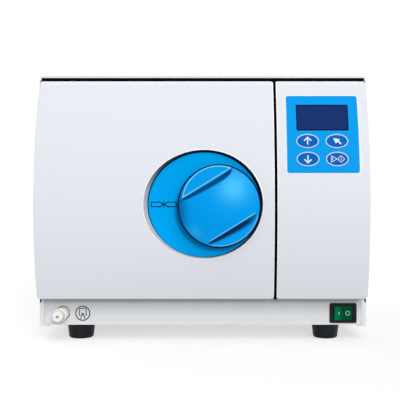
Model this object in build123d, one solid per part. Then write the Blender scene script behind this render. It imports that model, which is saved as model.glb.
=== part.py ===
from build123d import *
from math import asin, cos, degrees, pi, radians, sin, sqrt, tan
import os

# A benchtop steam steriliser of the 16 litre class, in millimetres.
# Every piece is drawn with x to the right, y = 0 on the casing's front plane and growing
# towards the back, and z = 0 on the table. Pieces are moved to the shared origin, the
# middle of the whole object's footprint, as they are written.

# Play and stock
seam = 0.3
cut = 1
sheet = 1.5

# Trays and the rack that holds them
tray_width = 176
tray_length = 300
tray_height = 14
tray_sheet = 1
tray_count = 3
tray_setback = 25
tray_room = 35
tray_slots = 5
slot_width = 6
rack_play = 4
rack_clear = 0.5
rack_foot = 10.5
rack_headroom = 6.5
rack_spare = 4.5
rack_sheet = 1.5
ledge = 6

# Pressure chamber and its closing plate
chamber_radius = 115
chamber_wall = 2
chamber_crown = 30
chamber_knuckle = 20
flange_lip = 8
flange_thick = 12
well_room = 6
well_wall = 1.5
band_thick = 4
band_width = 60
jacket_thick = 24
jacket_lead = 20
jacket_end = 5
saddle_lift = 22.7
saddle_width = 150
saddle_thick = 20
plate_front = 12
plate_lip = 3
plate_rim = 10
plate_web = 5
stud_radius = 9
gasket_gap = 1
gasket_width = 9
gasket_groove = 5
gasket_stand = 3
gasket_touch = 0.3

# Casing
case_bend = 4
top_room = 23.7
rear_room = 97
rear_reach = 12
hem = 2.6
hem_depth = 12
foot_height = 20
foot_inset = 53.2
foot_setback = 20
foot_top_radius = 19
foot_tip_radius = 16.5
foot_round = 3
under_flange = 12
flange_drop = 1.8
side_return = 6.5
strip_top = 54.4
pan_wall = 2
pan_rim = 18
frame_wall = 3
screw_radius = 3.5
vent_slots = 8
vent_pitch = 12
vent_width = 4
vent_length = 46

# Curved fascia of the door and the control panel, an arc in side view
fascia_radius = 400
fascia_top_reach = 5.6
fascia_lift = 4
fascia_drop = 7
fascia_inset = 2.5
fascia_wall = 3
fascia_corner = 4
fascia_edge = 1.2
door_margin = 12.4
door_gap = 3
swing_gap = 4
control_width = 121.6

# Oval opening in the door: its mouth, and the dish set into it
mouth_inset = 93.65
mouth_drop = 5.1
mouth_half_width = 78.1
mouth_half_height = 72.7
dish_shift = 1.65
dish_drop = 0.4
dish_taper = 2.4
dish_gap = 1.2
dish_recess = 11
dish_wall = 2.5
rim_wall = 1.5
rim_lap = 5

# Turning knob with a slanted grip
knob_shift = 20.9
knob_drop = 2.9
knob_radius = 53
knob_lift = 0.6
knob_height = 25
knob_edge = 1.5
knob_wall = 3
grip_angle = 31.3
grip_half_width = 33
grip_tilt = 6
grip_bulge = 2
grip_round = 6
grip_crown = 72

# Rack lock behind the dish
gear_module = 1.5
gear_teeth = 12
pressure_angle = 25
gear_backlash = 0.3
rack_addendum = 1.35
gear_dedendum = 1.9
spindle_radius = 6
spindle_play = 0.15
bar_thick = 7
bar_height = 12
bar_engage = 8
bar_tail = 51
lock_turn = 211.3
guide_width = 12
guide_play = 0.3
guide_wall = 3
guide_floor = 3.5
striker_room = 0.8
striker_wall = 2.8
striker_thick = 6
striker_inset = 19
striker_play = 0.4
striker_rim = 6

# Door beam, liner and hinge
beam_thick = 6
beam_height = 80
beam_end = 43
liner_room = 2
liner_wall = 2
liner_stand = 4.5
hinge_inset = 10.5
hinge_offset = 5.5
pin_radius = 4
pin_play = 0.1
barrel_radius = 7
barrel_height = 100
lug_height = 14
lug_gap = 3
lug_half_width = 3
lug_room = 2
bracket_wall = 4

# Control panel
label_offset = -0.2
label_drop = 74.6
label_width = 95
label_height = 104.4
label_corner = 3
label_thick = 0.6
label_glue = 0.05
display_rise = 22
display_width = 69.3
display_height = 35.6
display_deep = 9
keys_offset = -1.2
keys_drop = 22
key_pitch_x = 38.4
key_pitch_z = 23.8
key_width = 30.4
key_height = 20
key_proud = 0.5
key_play = 0.25
key_depth = 5.2
key_travel = 0.5
tact_height = 2.5
board_wall = 1.6
post_length = 12
sink_count = 4

# Front strip: power switch and drain nozzle
switch_inset = 31.5
switch_z = 36
bezel_width = 36.6
bezel_height = 27
bezel_thick = 2
bezel_depth = 24
paddle_width = 24.2
paddle_height = 18.3
paddle_rest = 7
paddle_play = 0.7
nozzle_inset = 32
nozzle_z = 36
nozzle_hole = 9.7
nozzle_reach = 36
nozzle_bore = 2
nozzle_bevel = 1.2
collar_radius = 8.8
collar_reach = 18.5
tip_radius = 7.2
nut_rim = 3

# Right-hand bay: boiler, pumps and tanks
bay_play = 3
bay_front = 70
shelf_wall = 2
shelf_top = 188
shelf_lead = 15
tank_wall = 2.5
tank_drop = 9
tank_setback = 31
tank_depth = 243
neck_depth = 128
neck_inset = 10
neck_ends = 15
waste_depth = 58
waste_room = 8
spout_reach = 12.5
lid_thick = 4
lid_lap = 6
lid_lift = 0.3
lid_pin = 0.9
ear_width = 4
boiler_radius = 38
boiler_lip = 4
boiler_flange = 6
boiler_height = 140
outlet_radius = 8
outlet_height = 16
pump_radius = 32
pump_lead = 95
pump_gap = 22
pump_head = 40
pump_foot = 8
dosing_width = 32
dosing_body = 30
dosing_motor = 28
dosing_radius = 13
manifold_width = 50
manifold_depth = 24
manifold_height = 20
coil_pitch = 16
coil_radius = 7
coil_height = 32

# Rear compartment
fan_inset = 92.5
fan_z = 120
fan_size = 92
fan_depth = 25
fan_wall = 3
fan_blades = 7
fan_hub = 17
fan_gap = 2
fan_pin = 1.5
blade_angle = 38
blade_thick = 1.6
blade_width = 22
guard_pitch = 14
guard_wire = 1.4
fin_count = 11
fin_thick = 1
pipe_radius = 5
pipe_pitch = 30
core_width = 70
core_depth = 50
core_height = 60
winding_reach = 14
filter_radius = 26
filter_length = 60
filter_stub = 14
filter_inset = 41
valve_radius = 9
valve_hex = 13
valve_body = 34
inlet_half_width = 24
inlet_half_height = 14
inlet_lift = 30
inlet_depth = 26
inlet_rim = 2
pocket_half_width = 12
pocket_half_height = 8
pocket_depth = 14

# Worked out from the sizes above, from the chamber outwards
gasket_inner = chamber_radius + chamber_wall + gasket_gap
gasket_outer = gasket_inner + gasket_width
plate_radius = gasket_outer + plate_lip
well_radius = plate_radius + well_room
flange_radius = plate_radius + flange_lip
jacket_inner = chamber_radius + chamber_wall + band_thick + seam
jacket_radius = jacket_inner + jacket_thick
pan_top = foot_height + pan_wall
chamber_z = pan_top + saddle_lift + jacket_radius
chamber_front = plate_front + plate_rim + gasket_stand
chamber_back = chamber_front + tray_setback + tray_length + tray_room
crown_y = chamber_back + chamber_crown + chamber_wall
jacket_front = chamber_front + jacket_lead
jacket_back = chamber_back - jacket_end
tray_front = chamber_front + tray_setback
rack_half_width = tray_width / 2 + rack_play
rack_bottom = rack_clear - sqrt(chamber_radius**2 - rack_half_width**2)
rack_top = -rack_bottom - rack_headroom
tray_pitch = (rack_top - rack_bottom - rack_spare) / tray_count
tray_levels = [rack_bottom + rack_foot + number * tray_pitch for number in range(tray_count)]

case_top = chamber_z + jacket_radius + top_room
case_depth = crown_y + rear_room
door_width = 2 * (jacket_radius + door_margin)
fascia_width = door_width + door_gap + control_width
case_width = fascia_width + 2 * fascia_inset
half_case = case_width / 2
half_fascia = fascia_width / 2
inside_x = half_case - sheet - seam
inside_z = case_top - sheet - seam
hem_x = half_case - hem - seam
rear_y = case_depth - sheet
fascia_bottom = strip_top + fascia_lift
fascia_top = case_top - fascia_drop
control_left = half_fascia - control_width
door_right = control_left - door_gap
chamber_x = door_right - door_width / 2

liner_back = liner_stand
liner_front = liner_back + liner_wall
beam_back = liner_front + liner_room
beam_front = beam_back + beam_thick
bar_back = beam_front + guide_floor
bar_front = bar_back + bar_thick
striker_face = bar_front + striker_play + striker_wall
rim_back = striker_face + striker_room
dish_back = rim_back + rim_wall
dish_face = dish_back + dish_wall
fascia_rise = dish_face + dish_recess
fascia_bend_y = fascia_radius - fascia_rise
fascia_middle = fascia_top - sqrt(fascia_radius**2 - (fascia_bend_y + fascia_top_reach) ** 2)
mouth_x = door_right - mouth_inset
mouth_z = chamber_z - mouth_drop
dish_x = mouth_x + dish_shift
dish_z = mouth_z - dish_drop
dish_half_width = mouth_half_width - dish_taper
dish_half_height = mouth_half_height - dish_taper
hinge_x = hinge_inset - half_fascia
hinge_y = -beam_front - hinge_offset
barrel_bottom = chamber_z - barrel_height / 2
barrel_top = chamber_z + barrel_height / 2
lug_bottoms = (barrel_bottom - lug_gap - lug_height, barrel_top + lug_gap)

knob_x = mouth_x + knob_shift
knob_z = mouth_z - knob_drop
knob_pads = dish_face + knob_height
knob_reach = knob_pads + grip_tilt
pitch_radius = gear_module * gear_teeth / 2
rack_line = knob_z + pitch_radius
rack_pitch = pi * gear_module
lock_travel = pitch_radius * radians(lock_turn)
rack_teeth = int(lock_travel / rack_pitch) + 4
bar_z = rack_line + gear_dedendum
striker_x = door_right - striker_inset
bar_tip = striker_x + striker_thick + bar_engage

control_middle = (control_left + half_fascia) / 2
label_x = control_middle + label_offset
label_z = fascia_top - label_drop
display_z = label_z + display_rise
key_x = control_middle + keys_offset
key_z = label_z - keys_drop
switch_x = half_case - switch_inset
nozzle_x = nozzle_inset - half_case

bay_left = chamber_x + jacket_radius + bay_play
bay_right = hem_x - pan_wall - bay_play
bay_x = (bay_left + bay_right) / 2
tank_left = bay_left + shelf_wall + bay_play
tank_right = bay_right - shelf_wall - bay_play
tank_top = case_top - tank_drop
tank_back = case_depth - tank_setback
tank_front = tank_back - tank_depth
shelf_front = tank_front - shelf_lead
neck_back = tank_back - neck_ends
neck_front = neck_back - neck_depth
neck_left = tank_left + neck_inset
neck_right = tank_right - neck_inset
waste_front = tank_back - waste_depth
waste_top = shelf_top - waste_room
boiler_y = bay_front + boiler_lip + boiler_radius
pump_back = waste_front - pump_lead
dosing_front = pump_back + dosing_radius
fan_x = fan_inset - half_case
fan_front = rear_y - fan_depth
filter_x = bay_left - filter_inset
filter_z = chamber_z + 2 * pipe_pitch
inlet_x = bay_x
inlet_z = shelf_top + inlet_lift

total_depth = knob_reach + case_depth + rear_reach
shift_y = knob_reach - total_depth / 2


def block(x0, x1, y0, y1, z0, z1):
    """A box between two corners."""
    middle = Pos((x0 + x1) / 2, (y0 + y1) / 2, (z0 + z1) / 2)
    return middle * Box(x1 - x0, y1 - y0, z1 - z0)


def rod_x(y, z, x0, x1, radius):
    return Pos((x0 + x1) / 2, y, z) * Rot(0, 90, 0) * Cylinder(radius, x1 - x0)


def rod_y(x, z, y0, y1, radius):
    return Pos(x, (y0 + y1) / 2, z) * Rot(90, 0, 0) * Cylinder(radius, y1 - y0)


def rod_z(x, y, z0, z1, radius):
    return Pos(x, y, (z0 + z1) / 2) * Cylinder(radius, z1 - z0)


def ring_y(x, z, y0, y1, outer, inner):
    return rod_y(x, z, y0, y1, outer) - rod_y(x, z, y0 - cut, y1 + cut, inner)


def facing(x, y, z):
    """A drawing plane that faces the front, with its own x to the right and y up."""
    return Plane(origin=(x, y, z), x_dir=(1, 0, 0), z_dir=(0, -1, 0))


def turned(profile, x, z):
    """A profile of (radius, y) spun about a front-to-back axis."""
    face = make_face(Plane.XY * Polyline(*profile, close=True))
    return Pos(x, 0, z) * revolve(face, Axis.Y)


def fascia_reach(z):
    """How far the fascia's curve stands ahead of the casing at a height."""
    return sqrt(fascia_radius**2 - (z - fascia_middle) ** 2) - fascia_bend_y


def fascia_lean(z):
    """How far the fascia leans back from upright at a height, in degrees."""
    return degrees(asin((z - fascia_middle) / fascia_radius))


def on_fascia(x, z):
    """A drawing plane that touches the fascia's curve, facing outwards."""
    lean = radians(fascia_lean(z))
    outwards = (0, -cos(lean), sin(lean))
    return Plane(origin=(x, -fascia_reach(z), z), x_dir=(1, 0, 0), z_dir=outwards)


def drum(offset):
    """The round solid whose front is the fascia's curve, moved outwards by an offset."""
    middle = Pos(0, fascia_bend_y, fascia_middle)
    return middle * Rot(0, 90, 0) * Cylinder(fascia_radius + offset, 2 * case_width)


def fascia_shell(left, right, back):
    """A moulded cover with a curved front, open at its back."""
    front = -fascia_rise - cut
    body = drum(0) & block(left, right, front, back, fascia_bottom, fascia_top)
    body = fillet(body.edges().filter_by(Axis.Y), fascia_corner)
    front_face = body.faces().filter_by(GeomType.CYLINDER).sort_by(SortBy.AREA)[-1]
    body = fillet(front_face.edges(), fascia_edge)
    low = fascia_bottom + fascia_wall
    high = fascia_top - fascia_wall
    room = block(left + fascia_wall, right - fascia_wall, front, back + cut, low, high)
    return body - (drum(-fascia_wall) & room)


# Casing

def case_cover():
    """Folded sheet over both sides and the top, with a hemmed front edge."""
    low = foot_height - flange_drop
    outer = block(-half_case, half_case, 0, rear_y, low, case_top)
    outer = fillet(outer.edges().filter_by(Axis.Y).group_by(Axis.Z)[-1], case_bend)
    wide = half_case - sheet
    inner = block(-wide, wide, hem_depth, case_depth, low + sheet, case_top - sheet)
    inner = fillet(inner.edges().filter_by(Axis.Y).group_by(Axis.Z)[-1], case_bend - sheet)
    narrow = half_case - hem
    mouth = block(-narrow, narrow, -cut, hem_depth + cut, low + sheet, case_top - hem)
    slot = half_case - under_flange
    under = block(-slot, slot, -cut, case_depth, low - cut, low + 2 * sheet)
    cover = outer - inner - mouth - under
    for side in (-1, 1):
        edge = side * (half_case - side_return / 2)
        cover += block(edge - side_return / 2, edge + side_return / 2, 0, sheet, low, strip_top)
        x = side * half_case
        slot_low = chamber_z + vent_length
        for row in range(vent_slots):
            y = rear_y - vent_length - row * vent_pitch
            cover -= block(x - hem, x + hem, y, y + vent_width, slot_low, slot_low + vent_length)
    return cover - tank_mouth(0, lid_lift + cut)


def tank_mouth(grow, top):
    """The filling hole over the clean water tank."""
    low, high = tank_top - tank_wall - cut, case_top + top
    return block(neck_left - grow, neck_right + grow, neck_front - grow, neck_back + grow, low, high)


def base_pan():
    """A shallow tray that carries everything inside the casing."""
    front = sheet + seam
    back = rear_y - seam
    high = foot_height + pan_rim
    pan = block(-hem_x, hem_x, front, back, foot_height, high)
    hollow = hem_x - pan_wall
    pan -= block(-hollow, hollow, front + pan_wall, back - pan_wall, pan_top, high + cut)
    for x in (switch_x, nozzle_x):
        reach = bezel_width / 2 - pan_wall
        pan -= block(x - reach, x + reach, 0, front + 2 * pan_wall, pan_top, high + cut)
    for x, y in foot_places():
        pan -= rod_z(x, y, foot_height - cut, pan_top + cut, screw_radius)
    return pan


def foot_places():
    """The feet's centres, seen from above."""
    half = half_case - foot_inset
    return [(x, y) for x in (-half, half) for y in (foot_setback, case_depth - foot_setback)]


def rubber_feet():
    """Tapered rubber feet with a rounded tread."""
    feet = []
    for x, y in foot_places():
        cone = Cone(foot_tip_radius, foot_top_radius, foot_height)
        foot = Pos(x, y, foot_height / 2) * cone
        feet.append(fillet(foot.edges().group_by(Axis.Z)[0], foot_round))
    return Compound(feet)


def base_front_panel():
    """The painted strip under the fascia, with holes for the nozzle and the switch."""
    wide = half_case - side_return - seam
    panel = block(-wide, wide, 0, sheet, foot_height, strip_top)
    panel -= rod_y(nozzle_x, nozzle_z, -cut, sheet + cut, nozzle_hole)
    half_w = bezel_width / 2 - bezel_thick - seam
    half_h = bezel_height / 2 - bezel_thick - seam
    low, high = switch_z - half_h, switch_z + half_h
    return panel - block(switch_x - half_w, switch_x + half_w, -cut, sheet + cut, low, high)


def front_frame():
    """The dark plate behind the fascia, with a round collar that reaches the chamber's flange."""
    low = strip_top + 2 * seam
    high = case_top - hem - seam
    frame = block(-hem_x, hem_x, 0, frame_wall, low, high)
    frame += rod_y(chamber_x, chamber_z, sheet + seam, chamber_front, well_radius + well_wall)
    frame -= rod_y(chamber_x, chamber_z, -cut, chamber_front + cut, well_radius)
    frame -= striker_space(seam)
    for low in lug_bottoms:
        frame -= lug_arm(low, seam)
    inset = 4 * fascia_wall
    left, right = control_left + inset, half_fascia - inset
    bottom, top = fascia_bottom + inset, fascia_top - inset
    return frame - block(left, right, -cut, frame_wall + cut, bottom, top)


def rear_panel():
    """Back plate with the fan's hole, cooling slots and the relief valve's hole."""
    panel = block(-inside_x, inside_x, rear_y, case_depth, pan_top + seam, inside_z)
    front, back = rear_y - cut, case_depth + cut
    panel -= rod_y(fan_x, fan_z, front, back, fan_size / 2 - fan_gap - sheet)
    panel -= rod_y(chamber_x, chamber_z, front, back, valve_radius + seam)
    left, right = inlet_x - inlet_half_width, inlet_x + inlet_half_width
    low, high = inlet_z - inlet_half_height, inlet_z + inlet_half_height
    panel -= block(left, right, front, back, low, high)
    for column in (fan_x, bay_x):
        left, right = column - vent_length / 2, column + vent_length / 2
        for row in range(vent_slots):
            z = inside_z - (row + 2) * vent_pitch
            panel -= block(left, right, front, back, z, z + vent_width)
    return panel


# Pressure chamber

def dished_end(radius, knuckle, crown):
    """Half the outline of a dished end: a tight bend, then a wide crown."""
    wide = ((radius - knuckle) ** 2 + crown**2 - knuckle**2) / (2 * (crown - knuckle))
    share = wide / (wide - knuckle)
    bend_end = (share * (radius - knuckle), chamber_back + crown - wide + share * (wide - crown))
    bend = TangentArc((radius, chamber_back), bend_end, tangent=(0, 1))
    return [bend, TangentArc((0, chamber_back + crown), bend_end, tangent=(1, 0))]


def chamber_shell():
    """Seam-welded drum with a dished far end."""
    outer = chamber_radius + chamber_wall
    crown = chamber_crown + chamber_wall
    edges = [
        Line((chamber_radius, chamber_front), (outer, chamber_front)),
        Line((outer, chamber_front), (outer, chamber_back)),
        *dished_end(outer, chamber_knuckle + chamber_wall, crown),
        Line((0, chamber_back + crown), (0, chamber_back + chamber_crown)),
        *dished_end(chamber_radius, chamber_knuckle, chamber_crown),
        Line((chamber_radius, chamber_back), (chamber_radius, chamber_front)),
    ]
    return Pos(chamber_x, 0, chamber_z) * revolve(make_face(edges), Axis.Y)


def chamber_flange():
    """Thick ring that the closing plate's gasket presses on."""
    back = chamber_front + flange_thick
    inner = chamber_radius + chamber_wall
    return ring_y(chamber_x, chamber_z, chamber_front, back, flange_radius, inner)


def band_heaters():
    """Two heating bands strapped round the chamber."""
    inner = chamber_radius + chamber_wall
    bands = []
    for share in (1 / 3, 2 / 3):
        middle = chamber_front + share * (chamber_back - chamber_front)
        front, back = middle - band_width / 2, middle + band_width / 2
        bands.append(ring_y(chamber_x, chamber_z, front, back, inner + band_thick, inner))
    return Compound(bands)


def insulation_jacket():
    """Thick blanket round the chamber, on the heating bands."""
    return ring_y(chamber_x, chamber_z, jacket_front, jacket_back, jacket_radius, jacket_inner)


def chamber_saddles():
    """Two cradles that carry the chamber on the pan."""
    cradles = []
    for y in (jacket_front + saddle_thick, jacket_back - 2 * saddle_thick):
        left, right = chamber_x - saddle_width / 2, chamber_x + saddle_width / 2
        cradle = block(left, right, y, y + saddle_thick, pan_top, chamber_z)
        cradle -= rod_y(chamber_x, chamber_z, y - cut, y + saddle_thick + cut, jacket_radius)
        cradles.append(cradle)
    return Compound(cradles)


def tray_rack():
    """Two side plates with ledges, joined by cross bars, standing in the chamber."""
    front, back = tray_front, tray_front + tray_length
    low, high = chamber_z + rack_bottom, chamber_z + rack_top
    half_tray = tray_width / 2 + seam
    rack = None
    for side in (-1, 1):
        outer = chamber_x + side * rack_half_width
        inner = outer - side * rack_sheet
        wall = block(min(outer, inner), max(outer, inner), front, back, low, high)
        reach = chamber_x + side * (half_tray - ledge)
        for level in tray_levels:
            z = chamber_z + level
            wall += block(min(outer, reach), max(outer, reach), front, back, z - rack_sheet, z)
        rack = wall if rack is None else rack + wall
    left, right = chamber_x - rack_half_width, chamber_x + rack_half_width
    for y in (front, back - ledge):
        rack += block(left, right, y, y + ledge, low, low + rack_sheet)
        rack += block(left, right, y, y + ledge, high - rack_sheet, high)
    return rack


def tray(level):
    """A shallow perforated tray on a ledge of the rack."""
    left, right = chamber_x - tray_width / 2, chamber_x + tray_width / 2
    front, back = tray_front, tray_front + tray_length
    low = chamber_z + level
    pan = block(left, right, front, back, low, low + tray_height)
    pan = fillet(pan.edges().filter_by(Axis.Z), ledge)
    inner = block(left + tray_sheet, right - tray_sheet, front + tray_sheet, back - tray_sheet,
                  low + tray_sheet, low + tray_height + cut)
    inner = fillet(inner.edges().filter_by(Axis.Z), ledge - tray_sheet)
    pan -= inner
    pitch = tray_length / (tray_slots + 1)
    for row in range(tray_slots):
        y = front + (row + 1) * pitch
        for side in (-1, 1):
            x = chamber_x + side * tray_width / 4
            pan -= block(x - tray_width / 8, x + tray_width / 8, y - slot_width / 2, y + slot_width / 2,
                         low - cut, low + 2 * tray_sheet)
    return pan


# Door

def mouth_cutter():
    """The space in front of the dish: wide at the door's face, narrower at the dish."""
    mouth = facing(mouth_x, -fascia_rise, mouth_z) * Ellipse(mouth_half_width, mouth_half_height)
    width, height = dish_half_width + dish_gap, dish_half_height + dish_gap
    seat = facing(dish_x, -dish_back, dish_z) * Ellipse(width, height)
    return loft([mouth, seat], ruled=True) + extrude(mouth, fascia_wall)


def mouth_collar():
    """The wall round the opening, from the door's face back to the dish's rim."""
    width, height = mouth_half_width + fascia_wall, mouth_half_height + fascia_wall
    mouth = facing(mouth_x, -fascia_rise, mouth_z) * Ellipse(width, height)
    width = dish_half_width + dish_gap + fascia_wall
    height = dish_half_height + dish_gap + fascia_wall
    seat = facing(dish_x, -dish_back, dish_z) * Ellipse(width, height)
    return loft([mouth, seat], ruled=True) & drum(-fascia_wall / 2)


def door_shell():
    """Curved door cover with an oval opening and notches for the hinge lugs."""
    shell = fascia_shell(-half_fascia, door_right, -swing_gap)
    shell = shell + mouth_collar() - mouth_cutter()
    for low in lug_bottoms:
        shell -= lug_swing(low, -half_fascia - cut)
    return shell


def lug_swing(low, left):
    """The room that a fixed hinge lug needs in the opening door."""
    front = hinge_y - lug_half_width - 2 * lug_room
    right = hinge_x + lug_half_width + lug_room
    return block(left, right, front, 0, low - lug_room / 2, low + lug_height + lug_room / 2)


def door_dish():
    """Oval dish under the knob, with a rim that laps behind the opening's wall."""
    plate = facing(dish_x, -dish_back, dish_z) * Ellipse(dish_half_width, dish_half_height)
    width, height = dish_half_width + rim_lap, dish_half_height + rim_lap
    rim = facing(dish_x, -rim_back, dish_z) * Ellipse(width, height)
    dish = extrude(plate, dish_wall) + extrude(rim, rim_wall)
    under = facing(dish_x, -rim_back + cut, dish_z)
    width, height = dish_half_width - rim_lap, dish_half_height - rim_lap
    dish -= extrude(under * Ellipse(width, height), rim_wall + cut)
    return dish - rod_y(knob_x, knob_z, -fascia_rise, 0, spindle_radius + 2 * spindle_play)


def door_liner():
    """Flat moulded cover on the door's back, with holes for the stud and the striker."""
    edge = fascia_wall + seam
    crest = sqrt((fascia_radius - fascia_wall) ** 2 - (fascia_bend_y + liner_front) ** 2)
    high = min(fascia_middle + crest, fascia_top - fascia_wall) - 2 * seam
    low = fascia_bottom + edge
    liner = block(edge - half_fascia, door_right - edge, -liner_front, -liner_back, low, high)
    liner -= rod_y(chamber_x, chamber_z, -fascia_rise, cut, 2 * stud_radius + liner_room)
    liner -= striker_space(2 * guide_wall)
    for low in lug_bottoms:
        liner -= lug_swing(low, -half_fascia)
    return liner


def door_beam():
    """Steel beam from the hinge to the lock, with a barrel at the hinge."""
    low, high = chamber_z - beam_height / 2, chamber_z + beam_height / 2
    beam = block(hinge_x, knob_x + beam_end, -beam_front, -beam_back, low, high)
    beam = fillet(beam.edges().filter_by(Axis.Y).group_by(Axis.X)[-1], barrel_radius)
    beam += rod_z(hinge_x, hinge_y, barrel_bottom, barrel_top, barrel_radius)
    beam -= rod_z(hinge_x, hinge_y, barrel_bottom - cut, barrel_top + cut, pin_radius + pin_play)
    beam -= rod_y(chamber_x, chamber_z, -fascia_rise, 0, stud_radius)
    beam -= rod_y(knob_x, knob_z, -fascia_rise, 0, spindle_radius + guide_wall)
    for x in (chamber_x - beam_height, chamber_x + beam_height / 2):
        beam -= rod_y(x, chamber_z, -fascia_rise, 0, barrel_radius)
    return beam


def plate_stud():
    """Threaded stud that carries the closing plate on the beam, with its nut."""
    stud = rod_y(chamber_x, chamber_z, -beam_front, plate_front, stud_radius)
    nut = facing(chamber_x, -beam_front, chamber_z) * RegularPolygon(1.4 * stud_radius, 6)
    washer = rod_y(chamber_x, chamber_z, -beam_back, -liner_back, 1.6 * stud_radius)
    return stud + extrude(nut, guide_floor - seam) + washer


def door_plate():
    """Thick round plate that closes the chamber, with a groove for the gasket."""
    back = plate_front + plate_rim
    web = plate_front + plate_web
    profile = [(0, plate_front), (plate_radius, plate_front), (plate_radius, back),
               (gasket_outer + seam, back), (gasket_outer + seam, back - gasket_groove),
               (gasket_inner - seam, back - gasket_groove), (gasket_inner - seam, back),
               (gasket_inner - gasket_groove, back), (gasket_inner - 2 * gasket_groove, web), (0, web)]
    return turned(profile, chamber_x, chamber_z)


def door_gasket():
    """Silicone ring in the closing plate's groove."""
    back = chamber_front - gasket_touch
    bottom = plate_front + plate_rim - gasket_groove
    middle = (gasket_inner + gasket_outer) / 2
    lip = (gasket_outer - gasket_inner) / 4
    profile = [(gasket_inner, bottom), (gasket_outer, bottom), (gasket_outer, back - lip),
               (middle + lip, back), (middle - lip, back), (gasket_inner, back - lip)]
    return turned(profile, chamber_x, chamber_z)


def hinge_bracket():
    """Two fixed lugs on a plate behind the front frame."""
    low, high = lug_bottoms[0] - lug_height, lug_bottoms[1] + 2 * lug_height
    left = hinge_x - lug_half_width - lug_room
    right = chamber_x - sqrt(well_radius**2 - (high - chamber_z) ** 2) - 2 * lug_room
    back = frame_wall + bracket_wall
    bracket = block(left, right, frame_wall, back, low, high)
    bracket -= rod_y(chamber_x, chamber_z, 0, back + cut, flange_radius + cut)
    for low in lug_bottoms:
        bracket += lug_arm(low, 0)
        bracket += rod_z(hinge_x, hinge_y, low, low + lug_height, barrel_radius - seam)
        bracket -= rod_z(hinge_x, hinge_y, low - cut, low + lug_height + cut, pin_radius)
    return bracket


def lug_arm(low, grow):
    """The straight arm of a hinge lug, from its eye back to the plate."""
    left, right = hinge_x - lug_half_width - grow, hinge_x + lug_half_width + grow
    return block(left, right, hinge_y, frame_wall + cut, low - grow, low + lug_height + grow)


def hinge_pin():
    """Upright pin through the lugs and the beam's barrel, with a head."""
    low, high = lug_bottoms[0], lug_bottoms[1] + lug_height
    pin = rod_z(hinge_x, hinge_y, low, high, pin_radius)
    return pin + rod_z(hinge_x, hinge_y, high, high + lug_room, pin_radius + lug_room)


# Lock

def grip_section(along, tilt, deep):
    """A cross-section of the knob's grip at a place along it."""
    low = (-grip_half_width, tilt)
    high = (grip_half_width, -tilt)
    top = ThreePointArc(low, (0, grip_bulge), high)
    sides = Polyline(high, (grip_half_width, -deep), (-grip_half_width, -deep), low)
    plane = Plane(origin=(along, 0, 0), x_dir=(0, 1, 0), z_dir=(1, 0, 0))
    return plane * make_face([top, sides])


def lock_knob():
    """Round knob: two flat pads with a slanted, bulging grip between them, rounded at its ends."""
    deep = knob_height - knob_lift
    disc = Pos(0, 0, -deep / 2) * Cylinder(knob_radius, deep)
    disc = fillet(disc.edges().group_by(Axis.Z)[-1], knob_edge)
    disc -= Pos(0, 0, -deep / 4) * Box(2 * knob_radius, 2 * grip_half_width, deep / 2 + cut)
    bottom = deep - knob_wall
    sections = [grip_section(-knob_radius, 0, bottom), grip_section(0, grip_tilt, bottom),
                grip_section(knob_radius, 0, bottom)]
    dome_low = -grip_round - sqrt(grip_crown**2 - knob_radius**2)
    dome = Pos(0, 0, dome_low) * Sphere(grip_crown) & Pos(0, 0, -deep / 2) * Cylinder(knob_radius, 2 * deep)
    knob = disc + (loft(sections) & dome)
    knob -= Pos(0, 0, -deep) * Cylinder(spindle_radius, 2 * knob_wall + deep)
    return facing(knob_x, -knob_pads, knob_z).location * Rot(0, 0, grip_angle) * knob


def lock_spindle():
    """Shaft from the knob through the dish, the pinion and the beam."""
    front, back = -dish_face - knob_height / 2, -beam_back + liner_room / 2
    shaft = rod_y(knob_x, knob_z, front, back, spindle_radius)
    clip_radius = spindle_radius + guide_wall
    return shaft + rod_y(knob_x, knob_z, -beam_back + seam, -liner_front - seam, clip_radius)


def spindle_bush():
    """Flanged plain bearing in the beam."""
    inner = spindle_radius + spindle_play
    bush = ring_y(knob_x, knob_z, -beam_front, -beam_back, spindle_radius + guide_wall, inner)
    flange = ring_y(knob_x, knob_z, -beam_front - guide_wall, -beam_front, 2 * spindle_radius, inner)
    return bush + flange


def involute(base, angle):
    """A point on the involute of a base circle, unrolled by an angle."""
    return base * (cos(angle) + angle * sin(angle)), base * (sin(angle) - angle * cos(angle))


def lock_pinion():
    """Small spur gear on the spindle, with true involute teeth."""
    base = pitch_radius * cos(radians(pressure_angle))
    tip = pitch_radius + rack_addendum
    root = pitch_radius - gear_dedendum
    last = sqrt((tip / base) ** 2 - 1)
    at_pitch = tan(radians(pressure_angle)) - radians(pressure_angle)
    half_tooth = pi / (2 * gear_teeth) - gear_backlash / (4 * pitch_radius) + at_pitch
    steps = 4
    flank = [Vector(*involute(base, last * step / steps)) for step in range(steps + 1)]
    flank = [point.rotate(Axis.Z, -degrees(half_tooth)) for point in flank]
    mirror = [Vector(p.X, -p.Y) for p in reversed(flank)]
    inner = root / 2
    foot = Vector(inner, flank[0].Y)
    end = Vector(inner, mirror[-1].Y)
    edges = [Spline(*flank), ThreePointArc(flank[-1], (tip, 0), mirror[0]), Spline(*mirror),
             Polyline(mirror[-1], end, foot, flank[0])]
    tooth = extrude(make_face(edges), bar_thick)
    gear = Pos(0, 0, bar_thick / 2) * Cylinder(root, bar_thick)
    for number in range(gear_teeth):
        turn = 90 + number * 360 / gear_teeth
        gear += Rot(0, 0, turn) * tooth
    gear -= Cylinder(spindle_radius, 4 * bar_thick)
    return facing(knob_x, -bar_back, knob_z).location * gear


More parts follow.
